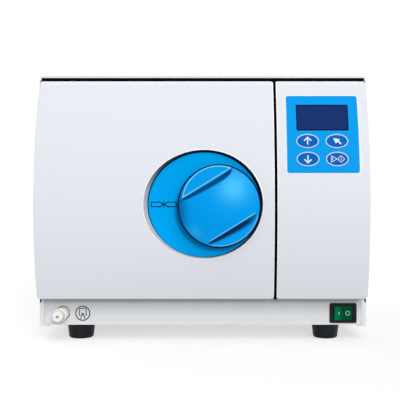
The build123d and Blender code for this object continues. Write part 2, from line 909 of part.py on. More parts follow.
def lock_bar():
    """Sliding bolt with a straight row of teeth on its lower side."""
    right = bar_tip - lock_travel
    left = knob_x - bar_tail - lock_travel
    bar = block(left, right, -bar_front, -bar_back, bar_z, bar_z + bar_height)
    bar = chamfer(bar.edges().filter_by(Axis.Y).group_by(Axis.X)[-1], 2 * seam)
    slope = tan(radians(pressure_angle))
    half = rack_pitch / 4 - gear_backlash / 2
    top = half + slope * gear_dedendum
    low = half - slope * rack_addendum
    above = gear_dedendum + cut
    outline = [(-top, above), (top, above), (top, gear_dedendum), (low, -rack_addendum),
               (-low, -rack_addendum), (-top, gear_dedendum)]
    shape = make_face(Polyline(*outline, close=True))
    last = knob_x + 1.5 * rack_pitch
    for number in range(rack_teeth):
        tooth = facing(last - number * rack_pitch, -bar_back, rack_line) * shape
        bar += extrude(tooth, bar_thick)
    return bar


def bar_guides():
    """Two brackets on the beam that the bolt slides through."""
    guides = []
    for x in (knob_x - 3 * guide_width, knob_x + 2 * guide_width):
        low, high = bar_z - guide_wall - gear_dedendum, bar_z + bar_height + guide_wall
        guide = block(x - guide_width / 2, x + guide_width / 2, -striker_face, -beam_front, low, high)
        room = block(x - guide_width, x + guide_width, -bar_front - guide_play, -bar_back + guide_play,
                     rack_line - rack_addendum - guide_play, bar_z + bar_height + guide_play)
        guides.append(guide - room)
    return Compound(guides)


def striker_space(grow):
    """The room that the striker takes up through the frame and the liner."""
    low, high = bar_z - striker_rim, bar_z + bar_height + striker_rim
    right = striker_x + striker_thick
    return block(striker_x - grow, right + grow, -striker_face, frame_wall + cut, low - grow, high + grow)


def striker():
    """Fixed steel eye that the bolt slides into, on a foot behind the frame."""
    back = frame_wall + bracket_wall
    low, high = bar_z - striker_rim, bar_z + bar_height + striker_rim
    right = striker_x + striker_thick
    eye = block(striker_x, right, -striker_face, back, low, high)
    foot_right = right + 3 * striker_thick
    foot = block(striker_x, foot_right, frame_wall, back, low - striker_rim, high + striker_rim)
    hole = block(striker_x - cut, right + cut, -bar_front - striker_play, -bar_back + striker_play,
                 bar_z - striker_play, bar_z + bar_height + striker_play)
    return eye + foot - hole


# Control panel

def key_places():
    """Each key's name with the place of its centre on the panel."""
    names = ("key_up", "key_select", "key_down", "key_start")
    columns = (key_x - key_pitch_x / 2, key_x + key_pitch_x / 2)
    rows = (key_z + key_pitch_z / 2, key_z - key_pitch_z / 2)
    return list(zip(names, [(x, z) for z in rows for x in columns]))


def key_body(x, z, grow, deep, proud):
    """An oval stud square to the curved panel."""
    oval = Ellipse(key_width / 2 + grow, key_height / 2 + grow)
    return extrude(on_fascia(x, z).offset(-deep) * oval, deep + proud)


def key_cap(x, z):
    """A key, free in its hole by a small play."""
    return key_body(x, z, -key_play, key_depth, label_thick + key_proud)


def control_fascia():
    """Curved cover of the control panel, with a window and four key holes."""
    shell = fascia_shell(control_left, half_fascia, 0)
    window = on_fascia(label_x, display_z).location
    wide, tall = display_width - 2 * fascia_wall, display_height - 2 * fascia_wall
    shell -= window * Box(wide, tall, 4 * fascia_wall)
    for _, (x, z) in key_places():
        shell -= key_body(x, z, 0, 2 * fascia_wall, fascia_wall)
    return shell


def keypad_overlay():
    """Thin flexible sheet stuck on the panel, with holes for the keys and the display."""
    outline = facing(label_x, -cut, label_z) * RectangleRounded(label_width, label_height, label_corner)
    skin = (drum(label_thick) - drum(label_glue)) & extrude(outline, fascia_rise)
    skin -= window_prism(0)
    for _, (x, z) in key_places():
        skin -= key_body(x, z, 0, fascia_wall, fascia_wall)
    return skin


def window_prism(grow):
    """The display's rounded outline as an upright prism."""
    wide, tall = display_width + 2 * grow, display_height + 2 * grow
    outline = RectangleRounded(wide, tall, label_corner / 2)
    return extrude(facing(label_x, -cut, display_z) * outline, fascia_rise)


def display_lens():
    """Tinted window flush with the keypad."""
    return (drum(label_thick) - drum(label_glue)) & window_prism(-seam / 2)


def display_module():
    """Liquid crystal module behind the window."""
    plane = on_fascia(label_x, display_z).offset(-fascia_wall - 2 * seam - display_deep / 2)
    wide, tall = display_width + 4 * fascia_wall, display_height + 2 * fascia_wall
    return plane.location * Box(wide, tall, display_deep)


def keypad_board():
    """Circuit board with one small switch under each key."""
    below = key_depth + key_travel + 2 * seam
    plane = on_fascia(key_x, key_z)
    wide, tall = key_pitch_x + key_width, key_pitch_z + key_height
    board = plane.offset(-below - tact_height - board_wall / 2).location * Box(wide, tall, board_wall)
    for x in (-key_pitch_x / 2, key_pitch_x / 2):
        for y in (-key_pitch_z / 2, key_pitch_z / 2):
            spot = plane.offset(-below - tact_height / 2 - seam).location * Pos(x, y, 0)
            board += spot * Box(2 * tact_height, 2 * tact_height, tact_height + 2 * seam)
    return board


def power_board():
    """Driver board on posts behind the control panel's opening."""
    front = frame_wall + post_length
    back = front + board_wall
    left, right = control_left + 2 * fascia_wall, half_fascia - 2 * fascia_wall
    low, high = fascia_bottom + 2 * fascia_wall, key_z - key_pitch_z
    board = block(left, right, front, back, low, high)
    inset = 2 * screw_radius - fascia_wall
    for x in (left + inset, right - inset):
        for z in (low + inset, high - inset):
            board += rod_y(x, z, frame_wall, front, screw_radius - cut)
    for number in range(sink_count):
        z = low + (number + 1) * (high - low) / (sink_count + 1)
        board += block(left + 6 * screw_radius, label_x, back, back + post_length,
                       z - screw_radius, z + screw_radius)
    return board


# Front strip

def switch_housing():
    """Rocker switch's bezel and body, with a pocket for the paddle."""
    half_w, half_h = bezel_width / 2, bezel_height / 2
    bezel = block(switch_x - half_w, switch_x + half_w, -bezel_thick, 0, switch_z - half_h, switch_z + half_h)
    bezel = fillet(bezel.edges().filter_by(Axis.Y), bezel_thick)
    bezel = chamfer(bezel.faces().sort_by(Axis.Y)[0].edges(), bezel_thick / 4)
    half_w, half_h = half_w - bezel_thick - 2 * seam, half_h - bezel_thick - 2 * seam
    bezel += block(switch_x - half_w, switch_x + half_w, 0, bezel_depth, switch_z - half_h, switch_z + half_h)
    half_w, half_h = paddle_width / 2 + paddle_play, paddle_height / 2 + seam
    bezel -= block(switch_x - half_w, switch_x + half_w, -bezel_thick - cut, bezel_depth / 2,
                   switch_z - half_h, switch_z + half_h)
    for x in (-half_w / 2, 0, half_w / 2):
        bezel += block(switch_x + x - cut, switch_x + x + cut, bezel_depth, bezel_depth + 4 * bezel_thick,
                       switch_z - half_h / 2, switch_z + half_h / 2)
    return bezel


def rocker_paddle():
    """Green paddle with two shallow slopes, on a short pivot pin."""
    half = paddle_width / 2
    profile = [(-half, -bezel_thick), (0, -bezel_thick / 2), (half, -bezel_thick), (half, bezel_thick / 2),
               (half / 2, 3 * bezel_thick), (-half / 2, 3 * bezel_thick), (-half, bezel_thick / 2)]
    paddle = extrude(make_face(Polyline(*profile, close=True)), paddle_height / 2, both=True)
    paddle += Cylinder(bezel_thick / 2, paddle_height + seam)
    return Pos(switch_x, -bezel_thick / 2, switch_z) * Rot(0, 0, paddle_rest) * paddle


def drain_nozzle():
    """Off-white hose nozzle that stands out of the strip."""
    bevel = nozzle_bevel
    slim = tip_radius - bevel
    back = sheet + 2 * bevel
    profile = [(nozzle_bore, -nozzle_reach), (slim, -nozzle_reach), (tip_radius, bevel - nozzle_reach),
               (tip_radius, -collar_reach - 2 * bevel), (slim, -collar_reach - bevel),
               (slim, -collar_reach), (collar_radius - bevel, -collar_reach),
               (collar_radius, bevel - collar_reach), (collar_radius, back), (nozzle_bore, back)]
    return turned(profile, nozzle_x, nozzle_z)


def drain_nut():
    """Flanged nut that holds the nozzle behind the strip, with a tail for the inner hose."""
    nut_back = 4 * sheet
    tail_back = pan_rim + sheet
    nut = facing(nozzle_x, nut_back, nozzle_z) * RegularPolygon(nozzle_hole + nut_rim, 6)
    nut = extrude(nut, nut_back - sheet)
    nut += rod_y(nozzle_x, nozzle_z, nut_back, tail_back, tip_radius - nozzle_bevel)
    nut -= rod_y(nozzle_x, nozzle_z, 0, tail_back + cut, nozzle_bore)
    return nut - rod_y(nozzle_x, nozzle_z, 0, sheet + 2 * nozzle_bevel, collar_radius)


# Right-hand bay

def tank_shelf():
    """Folded bridge over the pumps that carries the clean water tank."""
    back = rear_y - bay_play
    shelf = block(bay_left, bay_right, shelf_front, back, pan_top, shelf_top)
    left, right = bay_left + shelf_wall, bay_right - shelf_wall
    shelf -= block(left, right, shelf_front - cut, back + cut, pan_top - cut, shelf_top - shelf_wall)
    low, high = pan_top + 4 * bay_play, shelf_top - 8 * bay_play
    front = shelf_front + 8 * bay_play
    return shelf - block(bay_left - cut, bay_right + cut, front, back - 8 * bay_play, low, high)


def clean_water_tank():
    """Moulded tank with a wide filling neck under the lid."""
    tank = block(tank_left, tank_right, tank_front, tank_back, shelf_top, tank_top)
    tank = fillet(tank.edges().filter_by(Axis.Z), 3 * tank_wall)
    tank += block(neck_left - tank_wall, neck_right + tank_wall, neck_front - tank_wall,
                  neck_back + tank_wall, tank_top - tank_wall, inside_z)
    tank -= block(tank_left + tank_wall, tank_right - tank_wall, tank_front + tank_wall,
                  tank_back - tank_wall, shelf_top + tank_wall, tank_top - tank_wall)
    return tank - tank_mouth(0, cut)


def used_water_tank():
    """Closed tank for spent water, standing on the pan, with a spout for its hose."""
    tank = block(tank_left, tank_right, waste_front, tank_back, pan_top, waste_top)
    tank = fillet(tank.edges().filter_by(Axis.Z), 3 * tank_wall)
    tank -= block(tank_left + tank_wall, tank_right - tank_wall, waste_front + tank_wall,
                  tank_back - tank_wall, pan_top + tank_wall, waste_top - tank_wall)
    spout_z = pan_top + 8 * tank_wall
    return tank + rod_y(bay_x, spout_z, waste_front - spout_reach, waste_front, 2 * tank_wall)


def tank_lid():
    """Filler lid on the casing's top, hinged along its rear edge."""
    low = case_top + lid_lift
    high = low + lid_thick
    left, right = neck_left - lid_lap, neck_right + lid_lap
    front, back = neck_front - lid_lap, neck_back + lid_lap
    lid = block(left, right, front, back, low, high)
    lid = fillet(lid.edges().filter_by(Axis.Z).group_by(Axis.Y)[0], lid_lap)
    lid += rod_x(back, low + lid_thick / 2, left, right, lid_thick / 2)
    lid -= rod_x(back, low + lid_thick / 2, left - cut, right + cut, lid_pin + pin_play)
    return lid - rod_z((left + right) / 2, front - lid_lap, low - cut, high + cut, 2 * lid_lap)


def lid_hinge():
    """Two ears on the casing's top with the lid's pin between them."""
    left, right = neck_left - lid_lap, neck_right + lid_lap
    y, z = neck_back + lid_lap, case_top + lid_lift + lid_thick / 2
    half = lid_thick / 2
    hinge = rod_x(y, z, left - ear_width, right + ear_width, lid_pin)
    for x in (left - seam - ear_width, right + seam):
        ear = rod_x(y, z, x, x + ear_width, half)
        hinge += ear + block(x, x + ear_width, y - half, y + half, case_top, z)
    return hinge


def steam_generator():
    """Upright boiler with bolted end flanges and an outlet stub."""
    top = pan_top + boiler_height
    boiler = rod_z(bay_x, boiler_y, pan_top, top, boiler_radius)
    for low in (pan_top, top - boiler_flange):
        boiler += rod_z(bay_x, boiler_y, low, low + boiler_flange, boiler_radius + boiler_lip)
    return boiler + rod_z(bay_x, boiler_y, top, top + outlet_height, outlet_radius)


def vacuum_pump():
    """Motor and diaphragm head on a foot plate."""
    front = boiler_y + boiler_radius + pump_gap
    head = pump_back - pump_head
    z = pan_top + boiler_flange + pump_radius
    left, right = bay_x - pump_radius, bay_x + pump_radius
    pump = rod_y(bay_x, z, front, head, pump_radius)
    pump += block(left, right, head, pump_back, z - pump_radius, z + pump_radius + pump_foot)
    plate_top = pan_top + pump_foot
    return pump + block(left - pump_foot, right + pump_foot, front + pump_gap, pump_back, pan_top, plate_top)


def water_pump():
    """Small dosing pump lying on the pan."""
    left = bay_x - dosing_width - dosing_radius
    right = left + dosing_width
    back = dosing_front + dosing_body
    middle = (left + right) / 2
    pump = block(left, right, dosing_front, back, pan_top, pan_top + dosing_width)
    return pump + rod_y(middle, pan_top + dosing_width / 2, back, back + dosing_motor, dosing_radius)


def valve_block():
    """Brass manifold with a row of solenoid coils."""
    left = bay_x + pan_wall
    front, back = dosing_front, dosing_front + manifold_depth
    top = pan_top + manifold_height
    manifold = block(left, left + manifold_width, front, back, pan_top, top)
    for number in (-1, 0, 1):
        x = left + manifold_width / 2 + number * coil_pitch
        manifold += rod_z(x, (front + back) / 2, top, top + coil_height, coil_radius)
    return manifold


# Rear compartment

def transformer():
    """Laminated core with its winding, on the pan behind the chamber."""
    middle_x = (fan_x + fan_size / 2 + bay_left) / 2
    middle_y = (crown_y + rear_y) / 2
    half_width, half_depth = core_width / 2, core_depth / 2
    core = block(middle_x - half_width, middle_x + half_width, middle_y - half_depth,
                 middle_y + half_depth, pan_top, pan_top + core_height)
    half_width -= winding_reach
    half_depth += winding_reach
    return core + block(middle_x - half_width, middle_x + half_width, middle_y - half_depth,
                        middle_y + half_depth, pan_top + winding_reach, pan_top + core_height - winding_reach)


def condenser():
    """Finned cooler ahead of the fan, on two end plates."""
    half = fan_size / 2
    front, back = crown_y + pump_gap, fan_front - outlet_radius
    left, right = fan_x - half, fan_x + half
    cooler = block(left, left + pan_wall, front, back, pan_top, fan_z + half)
    cooler += block(right - pan_wall, right, front, back, pan_top, fan_z + half)
    for z in (fan_z - pipe_pitch, fan_z, fan_z + pipe_pitch):
        cooler += rod_x((front + back) / 2, z, left, right, pipe_radius)
    for number in range(fin_count):
        x = left + (number + 1) * fan_size / (fin_count + 1)
        cooler += block(x - fin_thick / 2, x + fin_thick / 2, front + pan_wall, back - pan_wall,
                        fan_z - half, fan_z + half)
    return cooler


def fan_housing():
    """Square frame of the cooling fan with struts to its motor seat."""
    half = fan_size / 2
    housing = block(fan_x - half, fan_x + half, fan_front, rear_y, fan_z - half, fan_z + half)
    housing = fillet(housing.edges().filter_by(Axis.Y), 2 * fan_gap)
    housing -= rod_y(fan_x, fan_z, fan_front - cut, rear_y + cut, half - fan_gap)
    housing += rod_y(fan_x, fan_z, fan_front, fan_front + fan_wall, fan_hub)
    for angle in (45, 135):
        strut = Box(fan_size - fan_gap, fan_wall, fan_wall + cut)
        housing += Pos(fan_x, fan_front + fan_wall / 2, fan_z) * Rot(0, angle, 0) * strut
    return housing - rod_y(fan_x, fan_z, fan_front - cut, rear_y, fan_pin + pin_play)


def fan_rotor():
    """Hub with pitched blades, turning on a thin pin."""
    front, back = fan_front + fan_wall + cut, rear_y - fan_gap
    rotor = rod_y(fan_x, fan_z, front, back, fan_hub)
    rotor += rod_y(fan_x, fan_z, front - fan_wall, front, fan_pin)
    reach = fan_size / 2 - 2 * fan_gap
    root = fan_hub - fan_gap
    length = reach - root
    blade = Pos(root + length / 2, 0, 0) * Rot(blade_angle, 0, 0) * Box(length, blade_thick, blade_width)
    for number in range(fan_blades):
        spin = Rot(0, number * 360 / fan_blades, 0)
        rotor += Pos(fan_x, (front + back) / 2, fan_z) * spin * blade
    return rotor & rod_y(fan_x, fan_z, front - fan_wall, back, reach)


def fan_guard():
    """Wire rings on the back plate over the fan, on two crossed bars."""
    y = case_depth + guard_wire
    middle = Pos(fan_x, y, fan_z)
    bar = Box(fan_size + 2 * fan_wall, 2 * guard_wire, 2 * guard_wire)
    guard = middle * Rot(0, 45, 0) * bar + middle * Rot(0, 135, 0) * bar
    for number in (1, 2, 3):
        guard += middle * Rot(90, 0, 0) * Torus(number * guard_pitch, guard_wire)
    return guard


def air_filter():
    """Round filter capsule against the back plate, with a hose stub."""
    front = rear_y - filter_length
    body = rod_y(filter_x, filter_z, front, rear_y, filter_radius)
    return body + rod_y(filter_x, filter_z, front - filter_stub, front, pipe_radius)


def safety_valve():
    """Brass relief valve from the chamber's end through the back plate."""
    tip = case_depth + rear_reach
    body_back = rear_y - valve_body
    valve = rod_y(chamber_x, chamber_z, crown_y, tip - ledge, valve_radius - shelf_wall)
    hexagon = facing(chamber_x, body_back, chamber_z) * RegularPolygon(valve_hex, 6)
    valve += extrude(hexagon, valve_body)
    return valve + rod_y(chamber_x, chamber_z, rear_y - ledge, tip, valve_radius)


def mains_inlet():
    """Appliance inlet with its three blades, in the back plate."""
    half_w, half_h = inlet_half_width - seam, inlet_half_height - seam
    inlet = block(inlet_x - half_w, inlet_x + half_w, rear_y - inlet_depth, case_depth,
                  inlet_z - half_h, inlet_z + half_h)
    half_w, half_h = inlet_half_width + inlet_rim, inlet_half_height + inlet_rim
    inlet += block(inlet_x - half_w, inlet_x + half_w, case_depth, case_depth + frame_wall,
                   inlet_z - half_h, inlet_z + half_h)
    floor, front = case_depth - pocket_depth, case_depth + 2 * frame_wall
    pocket = block(inlet_x - pocket_half_width, inlet_x + pocket_half_width, floor, front,
                   inlet_z - pocket_half_height, inlet_z + pocket_half_height)
    inlet -= fillet(pocket.edges().filter_by(Axis.Y), frame_wall)
    for x, z in ((-7, -2), (0, 3), (7, -2)):
        middle_x, middle_z = inlet_x + x, inlet_z + z
        inlet += block(middle_x - cut, middle_x + cut, floor - cut, case_depth,
                       middle_z - 2 * cut, middle_z + 2 * cut)
    return inlet


pieces = {
    "case_cover": case_cover(),
    "base_pan": base_pan(),
    "rubber_feet": rubber_feet(),
    "base_front_panel": base_front_panel(),
    "front_frame": front_frame(),
    "rear_panel": rear_panel(),
    "chamber_shell": chamber_shell(),
    "chamber_flange": chamber_flange(),
    "band_heaters": band_heaters(),
    "insulation_jacket": insulation_jacket(),
    "chamber_saddles": chamber_saddles(),
    "tray_rack": tray_rack(),
    "trays": Compound([tray(level) for level in tray_levels]),
    "door_shell": door_shell(),
    "door_dish": door_dish(),
    "door_liner": door_liner(),
    "door_beam": door_beam(),
    "plate_stud": plate_stud(),
    "door_plate": door_plate(),
    "door_gasket": door_gasket(),
    "hinge_bracket": hinge_bracket(),
    "hinge_pin": hinge_pin(),
    "lock_knob": lock_knob(),
    "lock_spindle": lock_spindle(),
    "spindle_bush": spindle_bush(),
    "lock_pinion": lock_pinion(),
    "lock_bar": lock_bar(),
    "bar_guides": bar_guides(),
    "striker": striker(),
    "control_fascia": control_fascia(),
    "keypad_overlay": keypad_overlay(),
    "display_lens": display_lens(),
    "display_module": display_module(),
    "keypad_board": keypad_board(),
    "power_board": power_board(),
    "switch_housing": switch_housing(),
    "rocker_paddle": rocker_paddle(),
    "drain_nozzle": drain_nozzle(),
    "drain_nut": drain_nut(),
    "tank_shelf": tank_shelf(),
    "clean_water_tank": clean_water_tank(),
    "used_water_tank": used_water_tank(),
    "tank_lid": tank_lid(),
    "lid_hinge": lid_hinge(),
    "steam_generator": steam_generator(),
    "vacuum_pump": vacuum_pump(),
    "water_pump": water_pump(),
    "valve_block": valve_block(),
    "transformer": transformer(),
    "condenser": condenser(),
    "fan_housing": fan_housing(),
    "fan_rotor": fan_rotor(),
    "fan_guard": fan_guard(),
    "air_filter": air_filter(),
    "safety_valve": safety_valve(),
    "mains_inlet": mains_inlet(),
}
for name, (x, z) in key_places():
    pieces[name] = key_cap(x, z)

os.makedirs("parts", exist_ok=True)
for name, shape in pieces.items():
    export_step(Pos(0, shift_y, 0) * shape, "parts/" + name + ".step")
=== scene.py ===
import bmesh
import bpy
from math import asin, atan2, cos, exp, pi, radians, sin, sqrt
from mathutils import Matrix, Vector


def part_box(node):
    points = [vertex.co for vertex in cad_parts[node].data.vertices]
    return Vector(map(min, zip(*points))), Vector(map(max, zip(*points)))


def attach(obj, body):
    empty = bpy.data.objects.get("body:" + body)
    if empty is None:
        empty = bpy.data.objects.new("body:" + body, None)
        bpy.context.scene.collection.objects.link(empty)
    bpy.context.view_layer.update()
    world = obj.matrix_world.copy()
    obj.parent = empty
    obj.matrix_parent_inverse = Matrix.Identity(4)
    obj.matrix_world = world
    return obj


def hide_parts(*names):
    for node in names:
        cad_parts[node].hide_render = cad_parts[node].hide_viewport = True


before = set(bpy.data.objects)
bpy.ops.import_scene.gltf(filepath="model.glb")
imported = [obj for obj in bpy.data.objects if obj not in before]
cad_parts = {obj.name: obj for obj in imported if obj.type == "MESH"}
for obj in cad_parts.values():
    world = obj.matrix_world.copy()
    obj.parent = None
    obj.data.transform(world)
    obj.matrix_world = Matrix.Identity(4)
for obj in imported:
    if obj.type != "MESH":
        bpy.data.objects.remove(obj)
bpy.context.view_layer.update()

# A benchtop steam steriliser in metres, dressed in the order in which it is put together.

# Base pan
# A folded tray of zinc-plated steel that carries everything inside the casing.
# The feet, the saddles and the tank shelf are screwed to it.


def rgb(red, green, blue):
    """A colour as a screen shows it, from 0 to 255, turned into linear light."""
    shown = (red / 255, green / 255, blue / 255)
    return (*[s / 12.92 if s < 0.04045 else ((s + 0.055) / 1.055) ** 2.4 for s in shown], 1.0)


def node_group(name, inputs, outputs):
    """A group with named sockets: its tree, the values that go in and those that come out."""
    group = bpy.data.node_groups.new(name, "ShaderNodeTree")
    for way, sockets in (("INPUT", inputs), ("OUTPUT", outputs)):
        for label, kind in sockets.items():
            group.interface.new_socket(name=label, in_out=way, socket_type="NodeSocket" + kind)
    return group, group.nodes.new("NodeGroupInput").outputs, group.nodes.new("NodeGroupOutput").inputs


def feed(tree, socket, value):
    """Links a socket to another one, or sets it to an even value."""
    if isinstance(value, bpy.types.NodeSocket):
        tree.links.new(value, socket)
    else:
        socket.default_value = value


def noise(tree, scale, detail, lines=None):
    """Cloudy noise that keeps its place on the piece; lines draws it out along the axes."""
    spot = tree.nodes.new("ShaderNodeTexCoord").outputs["Object"]
    if lines is not None:
        stretch = tree.nodes.new("ShaderNodeVectorMath")
        stretch.operation = "MULTIPLY"
        tree.links.new(spot, stretch.inputs[0])
        tree.links.new(lines, stretch.inputs[1])
        spot = stretch.outputs[0]
    cloud = tree.nodes.new("ShaderNodeTexNoise")
    cloud.inputs["Detail"].default_value = detail
    tree.links.new(spot, cloud.inputs["Vector"])
    feed(tree, cloud.inputs["Scale"], scale)
    return cloud.outputs["Fac"]


def math_node(tree, kind, first, second, clamp=False):
    """One sum; each side is a socket or a number."""
    node = tree.nodes.new("ShaderNodeMath")
    node.operation = kind
    node.use_clamp = clamp
    feed(tree, node.inputs[0], first)
    feed(tree, node.inputs[1], second)
    return node.outputs[0]


def blend_colours(tree, share, first, second):
    """A colour that changes, by a share, from the first into the second."""
    mix = tree.nodes.new("ShaderNodeMix")
    mix.data_type = "RGBA"
    for number, value in ((0, share), (6, first), (7, second)):
        feed(tree, mix.inputs[number], value)
    return mix.outputs[2]


def swinging(tree, cloud, roughness, spread):
    """Roughness that swings with a noise round its own value."""
    swing = math_node(tree, "SUBTRACT", cloud, 0.5)
    swing = math_node(tree, "MULTIPLY", swing, spread)
    return math_node(tree, "ADD", swing, roughness, clamp=True)


tones, given, result = node_group(
    "uneven_tone",
    {"Colour": "Color", "Second Colour": "Color", "Patch Scale": "Float", "Amount": "Float"},
    {"Colour": "Color"},
)
patches = math_node(tones, "MULTIPLY", noise(tones, given["Patch Scale"], 3), given["Amount"], clamp=True)
toned = blend_colours(tones, patches, given["Colour"], given["Second Colour"])
tones.links.new(toned, result["Colour"])

grain, given, result = node_group(
    "fine_grain",
    {"Grain Scale": "Float", "Roughness": "Float", "Spread": "Float"},
    {"Roughness": "Float", "Height": "Float"},
)
swing = swinging(grain, noise(grain, 14, 4), given["Roughness"], given["Spread"])
grain.links.new(swing, result["Roughness"])
grain.links.new(noise(grain, given["Grain Scale"], 2), result["Height"])

dust_grey = rgb(186, 182, 174)
dusty, given, result = node_group("settled_dust", {"Colour": "Color", "Amount": "Float"}, {"Colour": "Color"})
surface = dusty.nodes.new("ShaderNodeNewGeometry")
facing = dusty.nodes.new("ShaderNodeSeparateXYZ")
dusty.links.new(surface.outputs["Normal"], facing.inputs[0])
upward = math_node(dusty, "MULTIPLY", facing.outputs["Z"], given["Amount"], clamp=True)
flecks = math_node(dusty, "MULTIPLY", upward, noise(dusty, 60, 6), clamp=True)
dusty.links.new(blend_colours(dusty, flecks, given["Colour"], dust_grey), result["Colour"])


def place_group(material, group, **values):
    """A group's outputs in a material, from values or sockets; a name's underlines stand for spaces."""
    node = material.node_tree.nodes.new("ShaderNodeGroup")
    node.node_tree = group
    for name, value in values.items():
        feed(material.node_tree, node.inputs[name.replace("_", " ")], value)
    return node.outputs


def shader_of(material):
    """A material's shader, which takes its colour and its roughness."""
    return material.node_tree.nodes["Principled BSDF"]


def new_material(name, **values):
    """A material with plain values on its shader; a name's underlines stand for spaces."""
    material = bpy.data.materials.new(name)
    material.use_nodes = True
    for label, value in values.items():
        shader_of(material).inputs[label.replace("_", " ")].default_value = value
    return material


def lay_on(material, colour, texture, depth, strength=0.35):
    """Feeds a colour, and a texture's roughness and height, to a material's shader."""
    tree = material.node_tree
    shader = shader_of(material)
    bump = tree.nodes.new("ShaderNodeBump")
    bump.inputs["Strength"].default_value = strength
    bump.inputs["Distance"].default_value = depth
    tree.links.new(colour, shader.inputs["Base Color"])
    tree.links.new(texture["Roughness"], shader.inputs["Roughness"])
    tree.links.new(texture["Height"], bump.inputs["Height"])
    tree.links.new(bump.outputs["Normal"], shader.inputs["Normal"])


def finished(name, colour, second, roughness, patch=9, amount=0.5, size=900, spread=0.12, depth=0.00005,
             dust=0.0, metallic=0, shine=0.3, tint=(1, 1, 1, 1)):
    """A finish with an uneven tone, a fine grain and a little dust on what faces up."""
    material = new_material(name, Metallic=metallic, Specular_IOR_Level=shine, Specular_Tint=tint)
    tone = place_group(material, tones, Colour=rgb(*colour), Second_Colour=rgb(*second), Patch_Scale=patch,
                       Amount=amount)
    dusted = place_group(material, dusty, Colour=tone["Colour"], Amount=dust)
    texture = place_group(material, grain, Grain_Scale=size, Roughness=roughness, Spread=spread)
    lay_on(material, dusted["Colour"], texture, depth)
    return material


def colour_band(material, axis, plain, full, colour):
    """Blends a colour over the base colour between two places along an axis."""
    tree = material.node_tree
    base = shader_of(material).inputs["Base Color"]
    spot = tree.nodes.new("ShaderNodeTexCoord")
    axes = tree.nodes.new("ShaderNodeSeparateXYZ")
    share = tree.nodes.new("ShaderNodeMapRange")
    share.interpolation_type = "SMOOTHSTEP"
    share.inputs["From Min"].default_value = plain
    share.inputs["From Max"].default_value = full
    tree.links.new(spot.outputs["Object"], axes.inputs[0])
    tree.links.new(axes.outputs[axis], share.inputs["Value"])
    banded = blend_colours(tree, share.outputs["Result"], base.links[0].from_socket, rgb(*colour))
    tree.links.new(banded, base)


def dress(material, *nodes):
    """Gives CAD nodes a material."""
    for name in nodes:
        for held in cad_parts[name].material_slots:
            held.material = material


zinc = finished("zinc_plate", (176, 180, 184), (150, 152, 150), 0.34, patch=26, amount=0.8,
                size=240, spread=0.25, dust=0.25, metallic=1)
dress(zinc, "base_pan", "tank_shelf", "chamber_saddles")

# Rubber feet
# Four tapered feet of black moulded rubber, screwed to the pan from below.
# Their skin is dull, with a grey bloom where hands and benches rub it.
rubber = finished("foot_rubber", (18, 21, 23), (30, 33, 35), 0.42, patch=40, size=1500,
                  spread=0.2, depth=0.00012, dust=0.1, shine=0.16)
dress(rubber, "rubber_feet")

# Pressure chamber
# A seam-welded drum of stainless steel with a dished end and a thick turned flange.
# The drum is brushed round its axis; the flange is turned on a lathe.
brushed, given, result = node_group(
    "brushed_lines",
    {"Lines": "Vector", "Roughness": "Float", "Spread": "Float"},
    {"Roughness": "Float", "Height": "Float"},
)
streaks = noise(brushed, 1, 4, given["Lines"])
brushed.links.new(swinging(brushed, streaks, given["Roughness"], given["Spread"]), result["Roughness"])
brushed.links.new(streaks, result["Height"])


def brushed_metal(name, colour, second, roughness, lines, spread=0.25):
    """Metal with fine lines; each part of lines is how often they change along x, y and z."""
    material = new_material(name, Metallic=1)
    texture = place_group(material, brushed, Lines=lines, Roughness=roughness, Spread=spread)
    tone = place_group(material, tones, Colour=rgb(*colour), Second_Colour=rgb(*second), Patch_Scale=30,
                       Amount=0.6)
    lay_on(material, tone["Colour"], texture, 0.00006, 0.2)
    return material


steel_dark = (168, 172, 176)
drum_steel = brushed_metal("drum_steel", (200, 203, 206), steel_dark, 0.3, (6, 700, 6))
turned_steel = brushed_metal("turned_steel", (210, 212, 214), steel_dark, 0.22, (500, 20, 500))
dress(drum_steel, "chamber_shell", "band_heaters")
dress(turned_steel, "chamber_flange")

# Insulation jacket
# A thick blanket of glass fibre, sewn round the drum over its heating bands.
# It is matt, off-white and coarsely woven.
blanket = finished("glass_blanket", (214, 208, 190), (186, 178, 156), 0.92, patch=14, size=420,
                   depth=0.0006, dust=0.1)
dress(blanket, "insulation_jacket")

# Tray rack and trays
# Thin stainless sheet: the rack is spot-welded, and the trays are pressed and slotted.
# The sheet is brushed along its length.
tray_steel = brushed_metal("tray_steel", (206, 208, 210), steel_dark, 0.28, (420, 5, 420))
dress(tray_steel, "tray_rack", "trays")

# Water tanks
# Two blow-moulded tanks of milky polyethylene, on and under the shelf.
# Light shows through their walls a little.
tank_plastic = finished("milky_polyethylene", (224, 228, 224), (205, 212, 208), 0.45, size=700,
                        depth=0.0001, dust=0.1)
shader_of(tank_plastic).inputs["Subsurface Weight"].default_value = 0.15
dress(tank_plastic, "clean_water_tank", "used_water_tank")

# Boiler, pumps and valves
# A steel boiler, two pumps of cast aluminium and a brass manifold, screwed to the pan.
# The castings keep the rough skin of their moulds.
cast = finished("cast_aluminium", (158, 161, 165), (128, 131, 135), 0.55, patch=30, size=380,
                spread=0.25, depth=0.0003, dust=0.3, metallic=1)
brass = finished("machined_brass", (196, 162, 92), (164, 126, 66), 0.3, patch=34, size=600,
                 spread=0.25, metallic=1)
winding = finished("copper_winding", (150, 84, 44), (106, 56, 30), 0.42, patch=50, size=1200, depth=0.0003)
dress(cast, "vacuum_pump", "water_pump", "condenser")
dress(drum_steel, "steam_generator")
dress(brass, "valve_block", "safety_valve", "spindle_bush")
dress(winding, "transformer")

